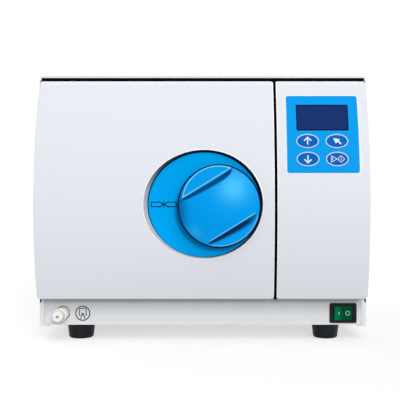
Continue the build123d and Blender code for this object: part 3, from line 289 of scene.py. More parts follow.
# Fan and air filter
# A square fan of black glass-filled plastic behind a guard of chromed wire.
# The filter is a white plastic capsule with a paper core.
black_plastic = finished("fan_plastic", (34, 35, 38), (24, 25, 27), 0.48, size=800, dust=0.35)
wire = finished("guard_wire", (206, 208, 212), (184, 186, 190), 0.16, patch=60, metallic=1)
capsule = finished("filter_capsule", (232, 233, 232), (216, 218, 220), 0.4)
dress(black_plastic, "fan_housing", "fan_rotor")
dress(wire, "fan_guard")
dress(capsule, "air_filter")

# Back plate
# A flat sheet painted like the cover, with slots, the fan's hole and the inlet.
# Cross-recessed pan-head screws hold it to the frame inside.
paint_white, paint_shade = (238, 240, 243), (229, 232, 237)
back_paint = finished("back_paint", paint_white, paint_shade, 0.42, size=520, depth=0.00012, dust=0.12)
screw_steel = finished("screw_steel", (188, 190, 194), (160, 162, 166), 0.26, patch=80, metallic=1)
# Painted shade: each cross recess is a dark block on the head, standing for the shade inside the recess.
recess_shade = finished("screw_recess", (40, 41, 43), (28, 29, 30), 0.6)
dress(back_paint, "rear_panel")
screw_radius, screw_height, screw_flat = 0.0036, 0.0021, 0.45
screw_rings, screw_sides, screw_crease = 5, 24, 50
recess_reach, recess_half = 0.0021, 0.00035
recess_top, recess_floor = screw_height + 0.00004, screw_height - 0.0002
side_inset, end_inset = 0.011, 0.012
fan_hole = 0.041
rear_low, rear_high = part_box("rear_panel")


def middle_of(node):
    """The middle of a node's box."""
    low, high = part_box(node)
    return (low + high) / 2


def round_turns(count):
    """Even turns once round a circle."""
    return [i / count * 2 * pi for i in range(count)]


def band(upper, lower):
    """Faces between two rings of point numbers."""
    return list(zip(upper, upper[1:] + upper[:1], lower[1:] + lower[:1], lower))


def skin(rings, closed=False, foot=True):
    """Points and faces over a row of rings that comes round again, or ends in caps."""
    count = len(rings[0])
    numbers = [list(range(first, first + count)) for first in range(0, len(rings) * count, count)]
    faces = []
    for upper, lower in zip(numbers, numbers[1:] + (numbers[:1] if closed else [])):
        faces += band(upper, lower)
    if not closed:
        faces.append(tuple(numbers[-1]))
        if foot:
            faces.append(tuple(reversed(numbers[0])))
    return [place for ring in rings for place in ring], faces


def solid(name, parts, material, body, crease=None):
    """A piece from pairs of points and faces, turned outwards; flat, or smooth up to a crease's angle."""
    points, faces = [], []
    for more_points, more_faces in parts:
        faces += [tuple(i + len(points) for i in face) for face in more_faces]
        points += more_points
    mesh = bpy.data.meshes.new(name)
    mesh.from_pydata([tuple(p) for p in points], [], faces)
    mesh.validate()
    mesh.update()
    mesh.materials.append(material)
    if crease:
        mesh.shade_smooth()
        mesh.set_sharp_from_angle(angle=radians(crease))
    else:
        mesh.shade_flat()
    work = bmesh.new()
    work.from_mesh(mesh)
    bmesh.ops.recalc_face_normals(work, faces=work.faces)
    work.to_mesh(mesh)
    work.free()
    piece = bpy.data.objects.new(name, mesh)
    bpy.context.scene.collection.objects.link(piece)
    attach(piece, body)
    return piece


def screws(name, places):
    """Equal screws in the back plate, with a dark cross of painted shade on each head for its recess."""
    heads, crosses = [], []
    for x, z in places:
        rings = []
        for step in range(screw_rings + 1):
            lean = step / screw_rings * pi / 2
            radius = screw_radius * (screw_flat + (1 - screw_flat) * cos(lean))
            y = rear_high.y + screw_height * sin(lean)
            rings.append([Vector((x - radius * cos(t), y, z + radius * sin(t)))
                          for t in round_turns(screw_sides)])
        heads.append(skin(rings, foot=False))
        for across, up in ((recess_reach, recess_half), (recess_half, recess_reach)):
            crosses.append(skin([[Vector((x + a * across, rear_high.y + level, z + b * up))
                                  for a, b in ((-1, -1), (1, -1), (1, 1), (-1, 1))]
                                 for level in (recess_top, recess_floor)]))
    solid(name, heads, screw_steel, "chassis", screw_crease)
    solid(name + "_recesses", crosses, recess_shade, "chassis")


low_z, middle_z, high_z = rear_low.z + end_inset, (rear_low.z + rear_high.z) / 2, rear_high.z - end_inset
rear_places = [(x, z) for x in (rear_low.x + side_inset, rear_high.x - side_inset)
               for z in (low_z, middle_z, high_z)]
screws("rear_screws", rear_places + [(0.0, low_z), (0.0, high_z)])
fan_middle = middle_of("fan_housing")
screws("fan_screws", [(fan_middle.x + a * fan_hole, fan_middle.z + b * fan_hole)
                      for a in (-1, 1) for b in (-1, 1)])

# Mains inlet
# A black appliance inlet with three nickel-plated blades, clipped into the back plate.
# Its moulding has a fine eroded texture.
inlet_plastic = finished("inlet_plastic", (30, 31, 33), (42, 43, 46), 0.5, size=1400, dust=0.15)
dress(inlet_plastic, "mains_inlet")

# Front frame, hinge bracket and striker
# A dark plate behind the fascia, which shows as a thin line above the door.
# The bracket and the striker are bright plated steel, bolted on from behind.
dark_frame = finished("frame_plastic", (3, 3, 4), (8, 8, 9), 0.7, size=1100, depth=0.0001, shine=0.04)
plated = finished("plated_steel", (186, 190, 194), (158, 162, 168), 0.26, patch=44, size=300,
                  spread=0.2, metallic=1)
ground_steel = brushed_metal("ground_steel", (192, 195, 198), (150, 154, 158), 0.2, (300, 8, 300))
dress(dark_frame, "front_frame")
dress(plated, "hinge_bracket", "striker", "door_beam", "bar_guides", "plate_stud")
dress(ground_steel, "hinge_pin", "lock_spindle", "lock_pinion", "lock_bar")

# Case cover
# One folded sheet over the sides and the top, painted white, with a hemmed front edge.
# The paint has a light orange peel, and dust settles on the top.
cover_paint = finished("cover_paint", paint_white, paint_shade, 0.4, patch=5, size=420, spread=0.1,
                       depth=0.00014, dust=0.12, shine=0.2)
dress(cover_paint, "case_cover")
strip_paint = finished("strip_paint", paint_white, paint_shade, 0.4, patch=5, size=420, spread=0.1,
                       depth=0.00014, shine=0.2)
# Painted shadow: the strip is painted darker towards its top, where the fascia overhangs it.
colour_band(strip_paint, "Z", 0.03, 0.056, (203, 202, 202))
dress(strip_paint, "base_front_panel")

# Marks on the base strip
# A ring with a small tank over a drain, printed in dark grey beside the nozzle.
# The print is a thin raised film of ink.
ring_line, tank_line, foot_line = 0.0015, 0.0012, 0.0011
mark_x, mark_z, mark_radius = -0.1638, 0.0356, 0.0096
tank_half, tank_high, tank_low, tank_bend = 0.0047, 0.0066, -0.0026, 0.0012
mitre_limit = 0.35
print_grey = finished("dark_ink", (52, 54, 58), (64, 66, 70), 0.5, size=1600)
front_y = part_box("base_front_panel")[0].y


def stroke(path, width, closed):
    """Left and right edges of a line of even width along a path, with mitred corners."""
    places = [Vector(place) for place in path]
    runs = [(after - here).normalized() for here, after in zip(places, places[1:] + places[:1])]
    edges = []
    for i, here in enumerate(places):
        last = runs[i] if closed or i < len(places) - 1 else runs[i - 1]
        first = runs[i - 1] if closed or i > 0 else last
        side = Vector((-first.y - last.y, first.x + last.x)).normalized()
        reach = width / 2 / max(mitre_limit, side.dot(Vector((-last.y, last.x))))
        edges.append((here + side * reach, here - side * reach))
    return edges


def printed(name, lines, areas, spot, material, body, thick=0.00012):
    """Lines and filled areas as a thin film; spot turns flat places and a height into points."""
    parts = []
    for path, width, closed in lines:
        rings = [[spot(*left, thick), spot(*right, thick), spot(*right, 0.0), spot(*left, 0.0)]
                 for left, right in stroke(path, width, closed)]
        parts.append(skin(rings, closed))
    for outline in areas:
        parts.append(skin([[spot(x, y, height) for x, y in outline] for height in (thick, 0.0)]))
    solid(name, parts, material, body)


def arc(x, y, radius, start, end, steps):
    """Points on a round stretch, its angles in degrees."""
    turns = [radians(start + (end - start) * i / steps) for i in range(steps + 1)]
    return [(x + radius * cos(t), y + radius * sin(t)) for t in turns]


def upright(middle_x, front, middle_z):
    """Places on an upright face, from a mark's middle."""
    return lambda x, y, height: Vector((middle_x + x, front - height, middle_z + y))


tank_outline = [(0.6 * tank_half, tank_low), (tank_half, tank_low)]
tank_outline += arc(tank_half - tank_bend, tank_high - tank_bend, tank_bend, 0, 90, 5)
tank_outline += arc(tank_bend - tank_half, tank_high - tank_bend, tank_bend, 90, 180, 5)
tank_outline += [(-tank_half, tank_low), (-0.6 * tank_half, tank_low)]
mark_lines = [(arc(0, 0, mark_radius, 0, 354, 59), ring_line, True), (tank_outline, tank_line, False)]
for side in (-1, 1):
    drain = [(side * 0.0004, -0.0012), (side * 0.0016, -0.0036), (side * 0.0026, -0.0066)]
    foot = [(side * 0.0018, -0.0066), (side * 0.0036, -0.0066)]
    mark_lines += [(drain, tank_line, False), (foot, foot_line, False)]
funnel = [(-0.0018, 0.0004), (0.0, -0.0024), (0.0018, 0.0004)]
printed("drain_mark", mark_lines, [funnel], upright(mark_x, front_y, mark_z), print_grey,
        "chassis")

# Corner plugs
# A small black rubber wedge closes the notch at each upper corner of the strip.
# It is pressed in from the front, under the fascia's corners.
plug_width, plug_high, plug_top = 0.0036, 0.0073, 0.057
plug_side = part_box("case_cover")[1].x - 0.0003
plug_front, plug_back = front_y - 0.0003, front_y + 0.0006
plug_rubber = finished("plug_rubber", (4, 4, 5), (10, 10, 11), 0.8, size=1200, shine=0.02)
plug_outline = [(plug_side, plug_top), (plug_side - plug_width, plug_top),
                (plug_side - plug_width * 0.45, plug_top - plug_high * 0.8),
                (plug_side, plug_top - plug_high)]
for side, name in ((-1, "corner_plug_left"), (1, "corner_plug_right")):
    rings = [[Vector((side * x, y, z)) for x, z in plug_outline] for y in (plug_front, plug_back)]
    solid(name, [skin(rings)], plug_rubber, "chassis")

# Drain nozzle
# An off-white acetal nozzle that stands out of the strip, with a nut behind it.
# A hose's quick connector goes over its tip, and hard water leaves lime in its bore.
acetal = finished("acetal", (250, 249, 244), (240, 237, 228), 0.36, patch=60, size=1200)
lime = finished("lime_scale", (196, 172, 146), (150, 126, 100), 0.8, patch=300, size=1500, depth=0.0002)
dress(acetal, "drain_nozzle")
dress(black_plastic, "drain_nut")
nozzle_middle, nozzle_tip = middle_of("drain_nozzle"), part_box("drain_nozzle")[0].y
lime_radius, lime_rim, lime_middle, lime_thick = 0.0019, 0.0012, 0.003, 0.0016
lime_sides, lime_crease = 24, 30
lime_points, lime_faces = [], []
for back in (0.0, lime_thick):
    y = nozzle_tip + back
    lime_points.append(Vector((nozzle_middle.x, y + lime_middle, nozzle_middle.z)))
    lime_points += [Vector((nozzle_middle.x + lime_radius * cos(t), y + lime_rim,
                            nozzle_middle.z + lime_radius * sin(t))) for t in round_turns(lime_sides)]
rim, back_rim = list(range(1, lime_sides + 1)), list(range(lime_sides + 2, 2 * lime_sides + 2))
for a, b, c, d in band(rim, back_rim):
    lime_faces += [(a, b, c, d), (0, b, a), (lime_sides + 1, d, c)]
solid("nozzle_scale", [(lime_points, lime_faces)], lime, "chassis", lime_crease)

# Power switch
# A black bezel snapped into the strip, with a green paddle that shows I and O.
# The two marks are printed white on the paddle's slopes.
switch_black = finished("switch_black", (22, 24, 26), (30, 32, 34), 0.4, size=1500, shine=0.1)
paddle_green = finished("paddle_green", (0, 126, 80), (0, 116, 72), 0.35, patch=50, shine=0.06,
                        tint=(0.1, 0.9, 0.5, 1))
# Painted shade: the paddle's right half is painted darker, because its slope turns away from the light.
colour_band(paddle_green, "X", 0.181, 0.192, (0, 82, 50))
rocker_ink = finished("rocker_ink", (176, 192, 184), (166, 182, 174), 0.5, size=1600, shine=0.05)
dress(switch_black, "switch_housing")
dress(paddle_green, "rocker_paddle")
pivot = middle_of("switch_housing")
pivot.y = front_y - 0.001
paddle_half = 0.0121
paddle_rest = radians(7)
slope_reach = 0.001
bar_half, bar_width = 0.0022, 0.0014
zero_radius, zero_width = 0.0027, 0.001


def on_slope(side):
    """Places on the paddle's left (-1) or right (1) slope, from the slope's middle."""
    def spot(x, y, height):
        along = side * paddle_half / 2 + x
        ahead = -slope_reach - slope_reach * abs(along) / paddle_half - height
        turned_x = along * cos(paddle_rest) - ahead * sin(paddle_rest)
        turned_y = along * sin(paddle_rest) + ahead * cos(paddle_rest)
        return pivot + Vector((turned_x, turned_y, y))
    return spot


on_line = ([(0, -bar_half), (0, bar_half)], bar_width, False)
off_line = (arc(0, 0, zero_radius, 0, 350, 35), zero_width, True)
for side, name, line in ((-1, "switch_on_mark", on_line), (1, "switch_off_mark", off_line)):
    printed(name, [line], [], on_slope(side), rocker_ink, "rocker")

# Door cover and liner
# A large curved moulding of glossy white plastic with an oval opening for the lock.
# A flat liner closes its back round the stud and the striker's slot.
fascia_plastic = finished("fascia_plastic", (234, 237, 243), (228, 231, 239), 0.42, patch=3, size=620,
                          spread=0.06, depth=0.00004, shine=0.15)
# Painted highlight: a lighter band runs along the top edge of the door and the panel, for the light on the
# rounded edge.
colour_band(fascia_plastic, "Z", 0.3425, 0.35, (241, 243, 248))
liner_plastic = finished("liner_plastic", (226, 229, 233), (214, 218, 224), 0.5, depth=0.0001)
dress(fascia_plastic, "door_shell")
dress(liner_plastic, "door_liner")
door_low, door_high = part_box("door_shell")
fascia_low, fascia_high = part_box("control_fascia")
bend_radius, bend_top_reach = 0.4, 0.0056
bend_back = bend_radius - (front_y - fascia_low.y)
bend_middle = fascia_high.z - sqrt(bend_radius**2 - (bend_back + bend_top_reach) ** 2)

# Closing plate and gasket
# A thick round plate on a stud, ground flat, with a silicone ring in its groove.
# The ring is translucent grey-white and slightly tacky.
plate_steel = brushed_metal("plate_steel", (206, 209, 212), steel_dark, 0.2, (260, 40, 260), 0.15)
silicone = finished("silicone_ring", (206, 204, 198), (190, 188, 182), 0.42, size=500)
dress(plate_steel, "door_plate")
dress(silicone, "door_gasket")

# Oval dish and its closing mark
# A blue moulded dish behind the knob, let into the door's opening, with a black ring of painted shade round
# it for the gap's shadow.
# The mark, two pointed bars that meet at a line, is printed in black.
dish_plastic = finished("dish_plastic", (2, 173, 252), (1, 168, 246), 0.42, patch=7, size=1300,
                        spread=0.06, depth=0.00004, shine=0.04, tint=(0.1, 0.7, 1, 1))
# Painted shade: the black ring round the dish stands for the shadow in the gap between the dish and the
# shell.
dish_ring_shade = finished("dish_gap_shade", (3, 4, 7), (7, 8, 11), 0.8, depth=0.0002, shine=0.01)
# Painted highlight: the lip is whiter than the shell, for the light on the mouth's rounded edge.
lip_highlight_white = finished("mouth_lip", (255, 255, 255), (252, 253, 255), 0.2, patch=20, size=1200, shine=0.9)
# Painted shade: a grey ring over the mouth's wall stands for its shade, and it is painted darker towards the
# top, where the wall faces down.
wall_shade_grey = finished("mouth_wall", (216, 220, 222), (204, 209, 212), 0.6, patch=20, shine=0.1)
colour_band(wall_shade_grey, "Z", 0.192, 0.243, (66, 82, 100))
black_ink = finished("black_ink", (2, 8, 18), (4, 14, 28), 0.6, size=1600, shine=0.03)
dress(dish_plastic, "door_dish")
dish_middle, dish_y = middle_of("door_dish"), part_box("door_dish")[0].y
dish_half = Vector((0.0757, 0.0703))
mouth_middle = Vector((0.00175, 0.1849))
mouth_half = Vector((0.0781, 0.0727))
mouth_ahead = 0.011
hoop_sides, hoop_crease = 120, 60
close_x, close_z = -0.0506, 0.1842
bar_end, bar_neck, neck_run = 0.0163, 0.006, 0.0006
bar_high, barb_high, tick_high = 0.0029, 0.0036, 0.0046
close_line = 0.0012


def mouth_edge(turn, outwards, height):
    """A place on the shell's edge round the mouth, outwards along the shell and raised from it."""
    share = 0.5
    for _ in range(6):
        x = mouth_middle.x + (dish_middle.x - mouth_middle.x) * share
        z = mouth_middle.y + (dish_middle.z - mouth_middle.y) * share
        x += (mouth_half.x + (dish_half.x - mouth_half.x) * share + outwards) * cos(turn)
        z += (mouth_half.y + (dish_half.y - mouth_half.y) * share + outwards) * sin(turn)
        ahead = sqrt(bend_radius**2 - (z - bend_middle) ** 2) - bend_back
        share = min(1.0, max(0.0, (front_y - dish_y + mouth_ahead - ahead) / mouth_ahead))
    return Vector((x, front_y - ahead - height, z))


def dish_edge(turn, inset, height):
    """A place near the dish's edge, inwards along its face and raised from it."""
    x = dish_middle.x + (dish_half.x - inset) * cos(turn)
    z = dish_middle.z + (dish_half.y - inset) * sin(turn)
    return Vector((x, dish_y - height, z))


def gap_shade_width(turn):
    """The painted gap shade is widest at the top of the dish and to its right, where more of the shaded gap
    shows.
    """
    return 0.0017 + 0.0004 * cos(turn) + 0.0007 * sin(turn) + 0.0002 * cos(2 * turn)


def hoop(name, rows, material):
    """A closed ring round the mouth; a row is an edge, a distance from it at each turn and a height."""
    rings = [[edge(t, distance(t) if callable(distance) else distance, height)
              for t in round_turns(hoop_sides)] for edge, distance, height in rows]
    solid(name, [skin(rings, closed=True)], material, "door", hoop_crease)


hoop("dish_gap_shade", [(dish_edge, 0.0002, 0.0), (dish_edge, 0.0002, 0.0006),
                   (dish_edge, lambda t: 0.6 * gap_shade_width(t), 0.0006), (dish_edge, gap_shade_width, 0.0)],
     dish_ring_shade)
hoop("mouth_lip", [(mouth_edge, 0.00005, 0.0), (mouth_edge, 0.0002, 0.0003), (mouth_edge, 0.0009, 0.0003),
                   (mouth_edge, 0.0014, 0.0)], lip_highlight_white)
hoop("mouth_wall", [(mouth_edge, -0.0001, 0.0), (dish_edge, 0.0001, 0.0001), (dish_edge, 0.0003, 0.0001),
                    (mouth_edge, -0.0003, 0.0)], wall_shade_grey)

bar_gap = 0.0006
half_bar = [(bar_gap, 0), (bar_neck, barb_high), (bar_neck + neck_run, bar_high), (bar_end, bar_high),
            (bar_end, -bar_high), (bar_neck + neck_run, -bar_high), (bar_neck, -barb_high)]
close_lines = [([(0, -tick_high), (0, tick_high)], close_line, False)]
close_lines += [([(side * x, y) for x, y in half_bar], close_line, True) for side in (-1, 1)]
printed("closing_mark", close_lines, [], upright(close_x, dish_y, close_z), black_ink, "door")

# Lock knob
# A thick blue moulding with a domed face, a raised pad at one side and a flat cut at the other.
# Both have straight edges, and the slanted band between them is what a hand turns.
knob_middle = middle_of("lock_knob")
knob_middle.y = dish_y - 0.025
knob_angle = radians(31.8)
along_grip = Vector((cos(knob_angle), 0, sin(knob_angle)))
across_grip = Vector((-sin(knob_angle), 0, cos(knob_angle)))
knob_radius, face_radius, knob_deep = 0.0543, 0.0523, 0.0244
dome_radius, dome_top = 0.16, 0.0032
rim_level, rim_bend = -0.005, 0.0014
upper_edge, lower_edge = 0.0335, -0.0321
groove_width, groove_deep, groove_wall, thinnest = 0.0104, 0.0042, -0.0005, 0.0001
groove = (-0.035, 0.041, groove_width, 0.28)
cut_low, cut_high, cut_least = -0.04, 0.038, 0.0004
cut = (cut_low, cut_high, 0.0118, 0.34)
pad_arc = (0.0021, 0.0041, 0.0478)
pad_bevel, pad_thick, pad_corner = 0.0007, 0.0075, 0.0007
dome_shade_turn, dome_shade_half, dome_shade = radians(154), radians(41), 0.66
spot_u, spot_v, spot_reach, spot_shade = 0.028, 0.011, 0.018, 0.8
glint_turn, glint_half, glint_shade = radians(196), radians(15), 0.26
glint_radius, glint_width = 0.045, 0.0052
grip_columns, knob_crease = 96, 60
knob_plastic = finished("knob_plastic", (2, 163, 247), (1, 156, 240), 0.34, patch=7, size=1300,
                        spread=0.06, depth=0.00003, shine=0.1, tint=(0.3, 0.8, 1, 1))
# Painted shade: the knob's skirt is dark navy, for the shadow round its rim.
knob_rim_shade = finished("knob_rim_shade", (2, 26, 72), (3, 34, 88), 0.45, patch=12, size=1300, shine=0.05)


def knob_point(u, v, height):
    """A place on the knob, along its grip, across it and out from the raised pad's level."""
    return knob_middle + along_grip * u + across_grip * v + Vector((0, -height, 0))


def opened(u, low, high, width, rise):
    """A groove's width at a place along it: sharp at its low end and blunt at its high one."""
    w = min(1.0, max(0.0, (u - low) / (high - low)))
    return width * (w**rise * (1 - w**10))


def eased(place, start=0, length=1):
    """A share that goes softly from 0 at the start to 1 past the length, which may run back."""
    share = min(1.0, max(0.0, (place - start) / length))
    return share * share * (3 - 2 * share)


def wrapped(turn):
    """A turn counted from -180 to 180 degrees."""
    return (turn + pi) % (2 * pi) - pi


def face_height(u, v):
    """The face's surface against the raised pad's level."""
    distance = sqrt(u * u + v * v)
    dome = dome_top - dome_radius + sqrt(dome_radius**2 - distance**2)
    past = distance - (face_radius - rim_bend)
    drop = rim_bend - sqrt(max(0.0, rim_bend**2 - past**2)) if past > 0 else 0.0
    height = dome
    if v < lower_edge:
        share = 1 - eased(v, lower_edge, -max(cut_least, opened(u, *cut)))
        height = rim_level + (dome - rim_level) * share**1.5
    elif v <= upper_edge:
        width = opened(u, *groove)
        share = (upper_edge - v) / max(width, thinnest)
        if share < 1:
            floor_level = dome - groove_deep * min(1.0, width / groove_width + 0.2)
            top = groove_wall if share < 0.5 else dome
            height = top + (floor_level - top) * eased(2 * share if share < 0.5 else 2 - 2 * share)
    return height - drop


def face_shade(u, v):
    """Painted shade and painted light at a place, each 0 to 1: shade deep in a groove and on the dome's left
    rim, light along an edge, and a soft highlight spot and glint.
    """
    dark_share = edge = 0.0
    distance = sqrt(u * u + v * v)
    if v < lower_edge:
        share = (lower_edge - v) / max(thinnest, opened(u, *cut))
        dark_share = min(1.0, 0.3 + share / 0.24) * (1 - eased(share, 0.55, 0.6))
        dark_share *= 1 - 0.4 * eased(u, 0.016, 0.02)
        dark_share *= eased(u, cut_low, 0.006) * eased(u, cut_high, -0.004)
    elif v < upper_edge:
        share = (upper_edge - v) / max(thinnest, opened(u, *groove))
        dark_share = 0.86 * sin(pi * share) ** 1.1 if share < 1 else 0.0
        dark_share *= eased(u, 0.0403, -0.003) * eased(distance, 0.05, -0.002)
    # Painted highlights along the flat cut's straight edge and round its rim.
    near = 0.85 - ((v - lower_edge) / 0.0009) ** 2
    edge = max(edge, near * eased(u, cut_low, 0.008) * eased(u, cut_high - 0.001, -0.004))
    if v < lower_edge:
        around = eased(lower_edge - v, 0.002, 0.006)
        edge = max(edge, 0.75 * around * (1 - ((distance - face_radius + 0.0006) / 0.001) ** 2))
    # Painted shade on the dome's left rim, which slopes away from the light.
    turned = wrapped(atan2(v, u) - dome_shade_turn) / dome_shade_half
    if abs(turned) < 1:
        dark_share = max(dark_share, dome_shade * (1 - turned**2) ** 2 * eased(distance, 0.032, 0.022) ** 1.3)
    # Painted highlights: a soft spot high on the dome and a glint near its lower left rim.
    pale = spot_shade * exp(-((u - spot_u) ** 2 + (v - spot_v) ** 2) / spot_reach**2)
    along, past = wrapped(atan2(v, u) - glint_turn) / glint_half, (distance - glint_radius) / glint_width
    pale = max(pale, glint_shade * exp(-(past**2) - along**2))
    pale *= eased(v, lower_edge, 0.002) * (1 - dark_share)
    return max(0.0, dark_share), min(1.0, max(0.0, edge)), pale


far_row = face_radius * 0.9996
fine_row, finest_row = 0.0007, 0.0004
rows = [upper_edge + (far_row - upper_edge) * cos(pi / 2 * i / 9) for i in range(9)]
rows += [upper_edge - fine_row * i for i in range(17)]
grip_top, grip_foot = rows[-1], lower_edge + 0.0016
rows += [grip_top + (grip_foot - grip_top) * i / 26 for i in range(1, 26)]
rows += [grip_foot - finest_row * i for i in range(7)]
rows += [lower_edge - 0.001 - fine_row * i for i in range(13)]
cut_foot = rows[-1]
rows += [cut_foot - (far_row + cut_foot) * sin(pi / 2 * i / 12) for i in range(1, 13)]
wide = grip_columns + 1
knob_points, knob_shades, knob_faces = [], [], []
for v in rows:
    chord = sqrt(face_radius**2 - v * v)
    for column in range(wide):
        u = chord * sin(pi / 2 * (2 * column / grip_columns - 1))
        knob_points.append(knob_point(u, v, face_height(u, v)))
        knob_shades.append(face_shade(u, v))
for row in range(len(rows) - 1):
    starts = range(row * wide, row * wide + grip_columns)
    knob_faces += [(a, a + 1, a + wide + 1, a + wide) for a in starts]
border = list(range(wide)) + [row * wide + grip_columns for row in range(1, len(rows))]
border += [(len(rows) - 1) * wide + column for column in range(grip_columns - 1, -1, -1)]
border += [row * wide for row in range(len(rows) - 2, 0, -1)]
skirt_first, upper = len(knob_faces), border
for radius, depth in ((face_radius + 0.0002, 0.0068), (knob_radius - 0.0007, 0.007), (knob_radius, 0.0077),
                      (knob_radius, knob_deep - 0.0008), (knob_radius - 0.0012, knob_deep)):
    lower = [len(knob_points) + i for i in range(len(border))]
    for number in border:
        flat = knob_points[number] - knob_middle
        lowest = flat.y + 0.0002
        flat.y = 0
        knob_points.append(knob_middle + flat.normalized() * radius + Vector((0, max(depth, lowest), 0)))
        knob_shades.append((0, 0, 0))
    knob_faces += band(lower, upper)
    upper = lower
knob_faces.append(tuple(upper))
skirt_end = len(knob_faces)


def pad_outline(inset):
    """The raised pad's rounded D, drawn in by a distance."""
    middle_u, middle_v, radius = pad_arc[0], pad_arc[1], pad_arc[2] - inset
    low = upper_edge + inset + pad_corner
    reach = sqrt((radius - pad_corner) ** 2 - (low - middle_v) ** 2)
    start, end = atan2(low - middle_v, reach), atan2(low - middle_v, -reach)
    path = [(start + (end - start) * i / 48, middle_u, middle_v, radius) for i in range(1, 48)]
    path = [(-pi / 2 + (start + pi / 2) * i / 6, middle_u + reach, low, pad_corner)
            for i in range(7)] + path
    path += [(end + (3 * pi / 2 - end) * i / 6, middle_u - reach, low, pad_corner) for i in range(7)]
    return [(u + size * cos(turn), v + size * sin(turn)) for turn, u, v, size in path]


# Each level is an inset, a height and the share of painted highlight on the pad's rounded edge.
levels = [(0.0, -pad_thick, 0.0), (0.0, -2 * pad_bevel, 0.3), (0.0, -pad_bevel, 1.0)]
levels += [(pad_bevel * (1 - cos(t)), pad_bevel * (sin(t) - 1), 1.0)
           for t in (pi / 8, pi / 4, 3 * pi / 8, pi / 2)]
levels += [(pad_bevel * 1.4, 0.0, 0.9), (pad_bevel * 2.4, 0.0, 0.0)]
pad_rings = []
for inset, height, edge_light in levels:
    outline = pad_outline(inset)
    pad_rings.append([len(knob_points) + i for i in range(len(outline))])
    knob_points += [knob_point(u, v, height) for u, v in outline]
    knob_shades += [(0.0, edge_light, 0.0)] * len(outline)
for upper, lower in zip(pad_rings, pad_rings[1:]):
    knob_faces += band(upper, lower)
knob_faces.append(tuple(pad_rings[-1]))

# Painted shade and painted highlights on the knob, from its place colour: red paints shade in the grooves and
# on the dome's left rim, green paints light along the edges, and blue paints a highlight spot and glint.
knob_light_group, given, result = node_group(
    "painted_knob_light",
    dict.fromkeys(("Colour", "Groove Colour", "Edge Colour", "Polished Colour", "Place"), "Color"),
    {"Colour": "Color"},
)
shares = knob_light_group.nodes.new("ShaderNodeSeparateColor")
knob_light_group.links.new(given["Place"], shares.inputs[0])
lit_colour = given["Colour"]
for share, finish in (("Blue", "Polished Colour"), ("Red", "Groove Colour"), ("Green", "Edge Colour")):
    lit_colour = blend_colours(knob_light_group, shares.outputs[share], lit_colour, given[finish])
knob_light_group.links.new(lit_colour, result["Colour"])
base = shader_of(knob_plastic).inputs["Base Color"]
places = knob_plastic.node_tree.nodes.new("ShaderNodeVertexColor")
places.layer_name = "place"
knob_light = place_group(knob_plastic, knob_light_group, Colour=base.links[0].from_socket, Groove_Colour=rgb(2, 46, 98),
                   Edge_Colour=rgb(128, 222, 255), Polished_Colour=rgb(78, 204, 255),
                   Place=places.outputs["Color"])
knob_plastic.node_tree.links.new(knob_light["Colour"], base)
knob = solid("turning_knob", [(knob_points, knob_faces)], knob_plastic, "knob", knob_crease)
knob.data.materials.append(knob_rim_shade)
layer = knob.data.color_attributes.new("place", "FLOAT_COLOR", "POINT")
for corner, shades in zip(layer.data, knob_shades):
    corner.color = (*shades, 1.0)
for face in knob.data.polygons[skirt_first:skirt_end]:
    face.material_index = 1
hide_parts("lock_knob")

# Control panel
# A cover bent to the door's curve, screwed on over the electronics from behind.
# The boards behind it are green resin with printed copper.
board_green = finished("board_resin", (32, 92, 58), (24, 72, 46), 0.4, patch=50)
dress(fascia_plastic, "control_fascia")
dress(board_green, "display_module", "keypad_board", "power_board")


def on_panel(x, z, height):
    """A place on the fascia's curve, raised along its normal."""
    rise = z - bend_middle
    ahead = sqrt(bend_radius**2 - rise * rise)
    lift = height / bend_radius
    return Vector((x, front_y + bend_back - ahead * (1 + lift), bend_middle + rise * (1 + lift)))


# Gap seals and edge beads
# Black strips fill the gap between the door and the panel, and run along the top of both; in the gap they lap
# over the edges and paint its shade as a wider dark line.
# The mouldings' rounded edges beside and below them show as thin beads: the white ones are painted highlights
# on the edges, and the grey ones under the fascia are painted shade.
gap_black = finished("painted_gap_black", (5, 5, 6), (9, 9, 10), 0.9, depth=0.0003, shine=0.02)
edge_highlight_white = finished("edge_bead", (255, 255, 255), (252, 253, 255), 0.2, size=1200, shine=0.9)
under_edge_shade_grey = finished("under_bead", (190, 196, 208), (182, 188, 200), 0.45, shine=0.1)
strip_steps, strip_inset, strip_front = 40, 0.002, 0.00015
panel_x, door_x = fascia_low.x, door_high.x
seal_high, seal_drop, seal_front, seal_back = 0.0011, 0.0002, 0.0003, -0.0004
bead_profile = [(0.0005, 0.0001), (-0.0003, 0.0), (-0.0008, -0.0004), (-0.001, -0.0012), (0.0002, -0.0016)]


def trim(name, sections, material, body):
    """A bar on the fascia's curve through sections, each a loop of places and heights."""
    rings = [[on_panel(*place) for place in section] for section in sections]
    solid(name, [skin(rings)], material, body)


def edge_strip(name, near_x, far_x, back, front, material, body):
    """A strip up the fascia's curve, between two places across it and two heights on its surface."""
    low, high = fascia_low.z + strip_inset, fascia_high.z - strip_inset
    levels = [low + (high - low) * step / strip_steps for step in range(strip_steps + 1)]
    trim(name, [[(near_x, z, front), (far_x, z, front), (far_x, z, back), (near_x, z, back)]
                for z in levels], material, body)


def top_strip(name, near_x, far_x, near_corner, far_corner, body):
    """A strip along the fascia's top edge that widens round the corners at its two ends."""
    top = fascia_high.z - seal_drop
    turns = [pi / 2 * step / 8 for step in range(9)]
    spots = [(near_x + near_corner * (1 - cos(t)), near_corner * (1 - sin(t))) for t in turns]
    spots += [(far_x - far_corner * (1 - cos(t)), far_corner * (1 - sin(t))) for t in reversed(turns)]
    spots = [(x, top - seal_high - drop) for x, drop in spots]
    trim(name, [[(x, top, seal_front), (x, low, seal_front), (x, low, seal_back), (x, top, seal_back)]
                for x, low in spots], gap_black, body)


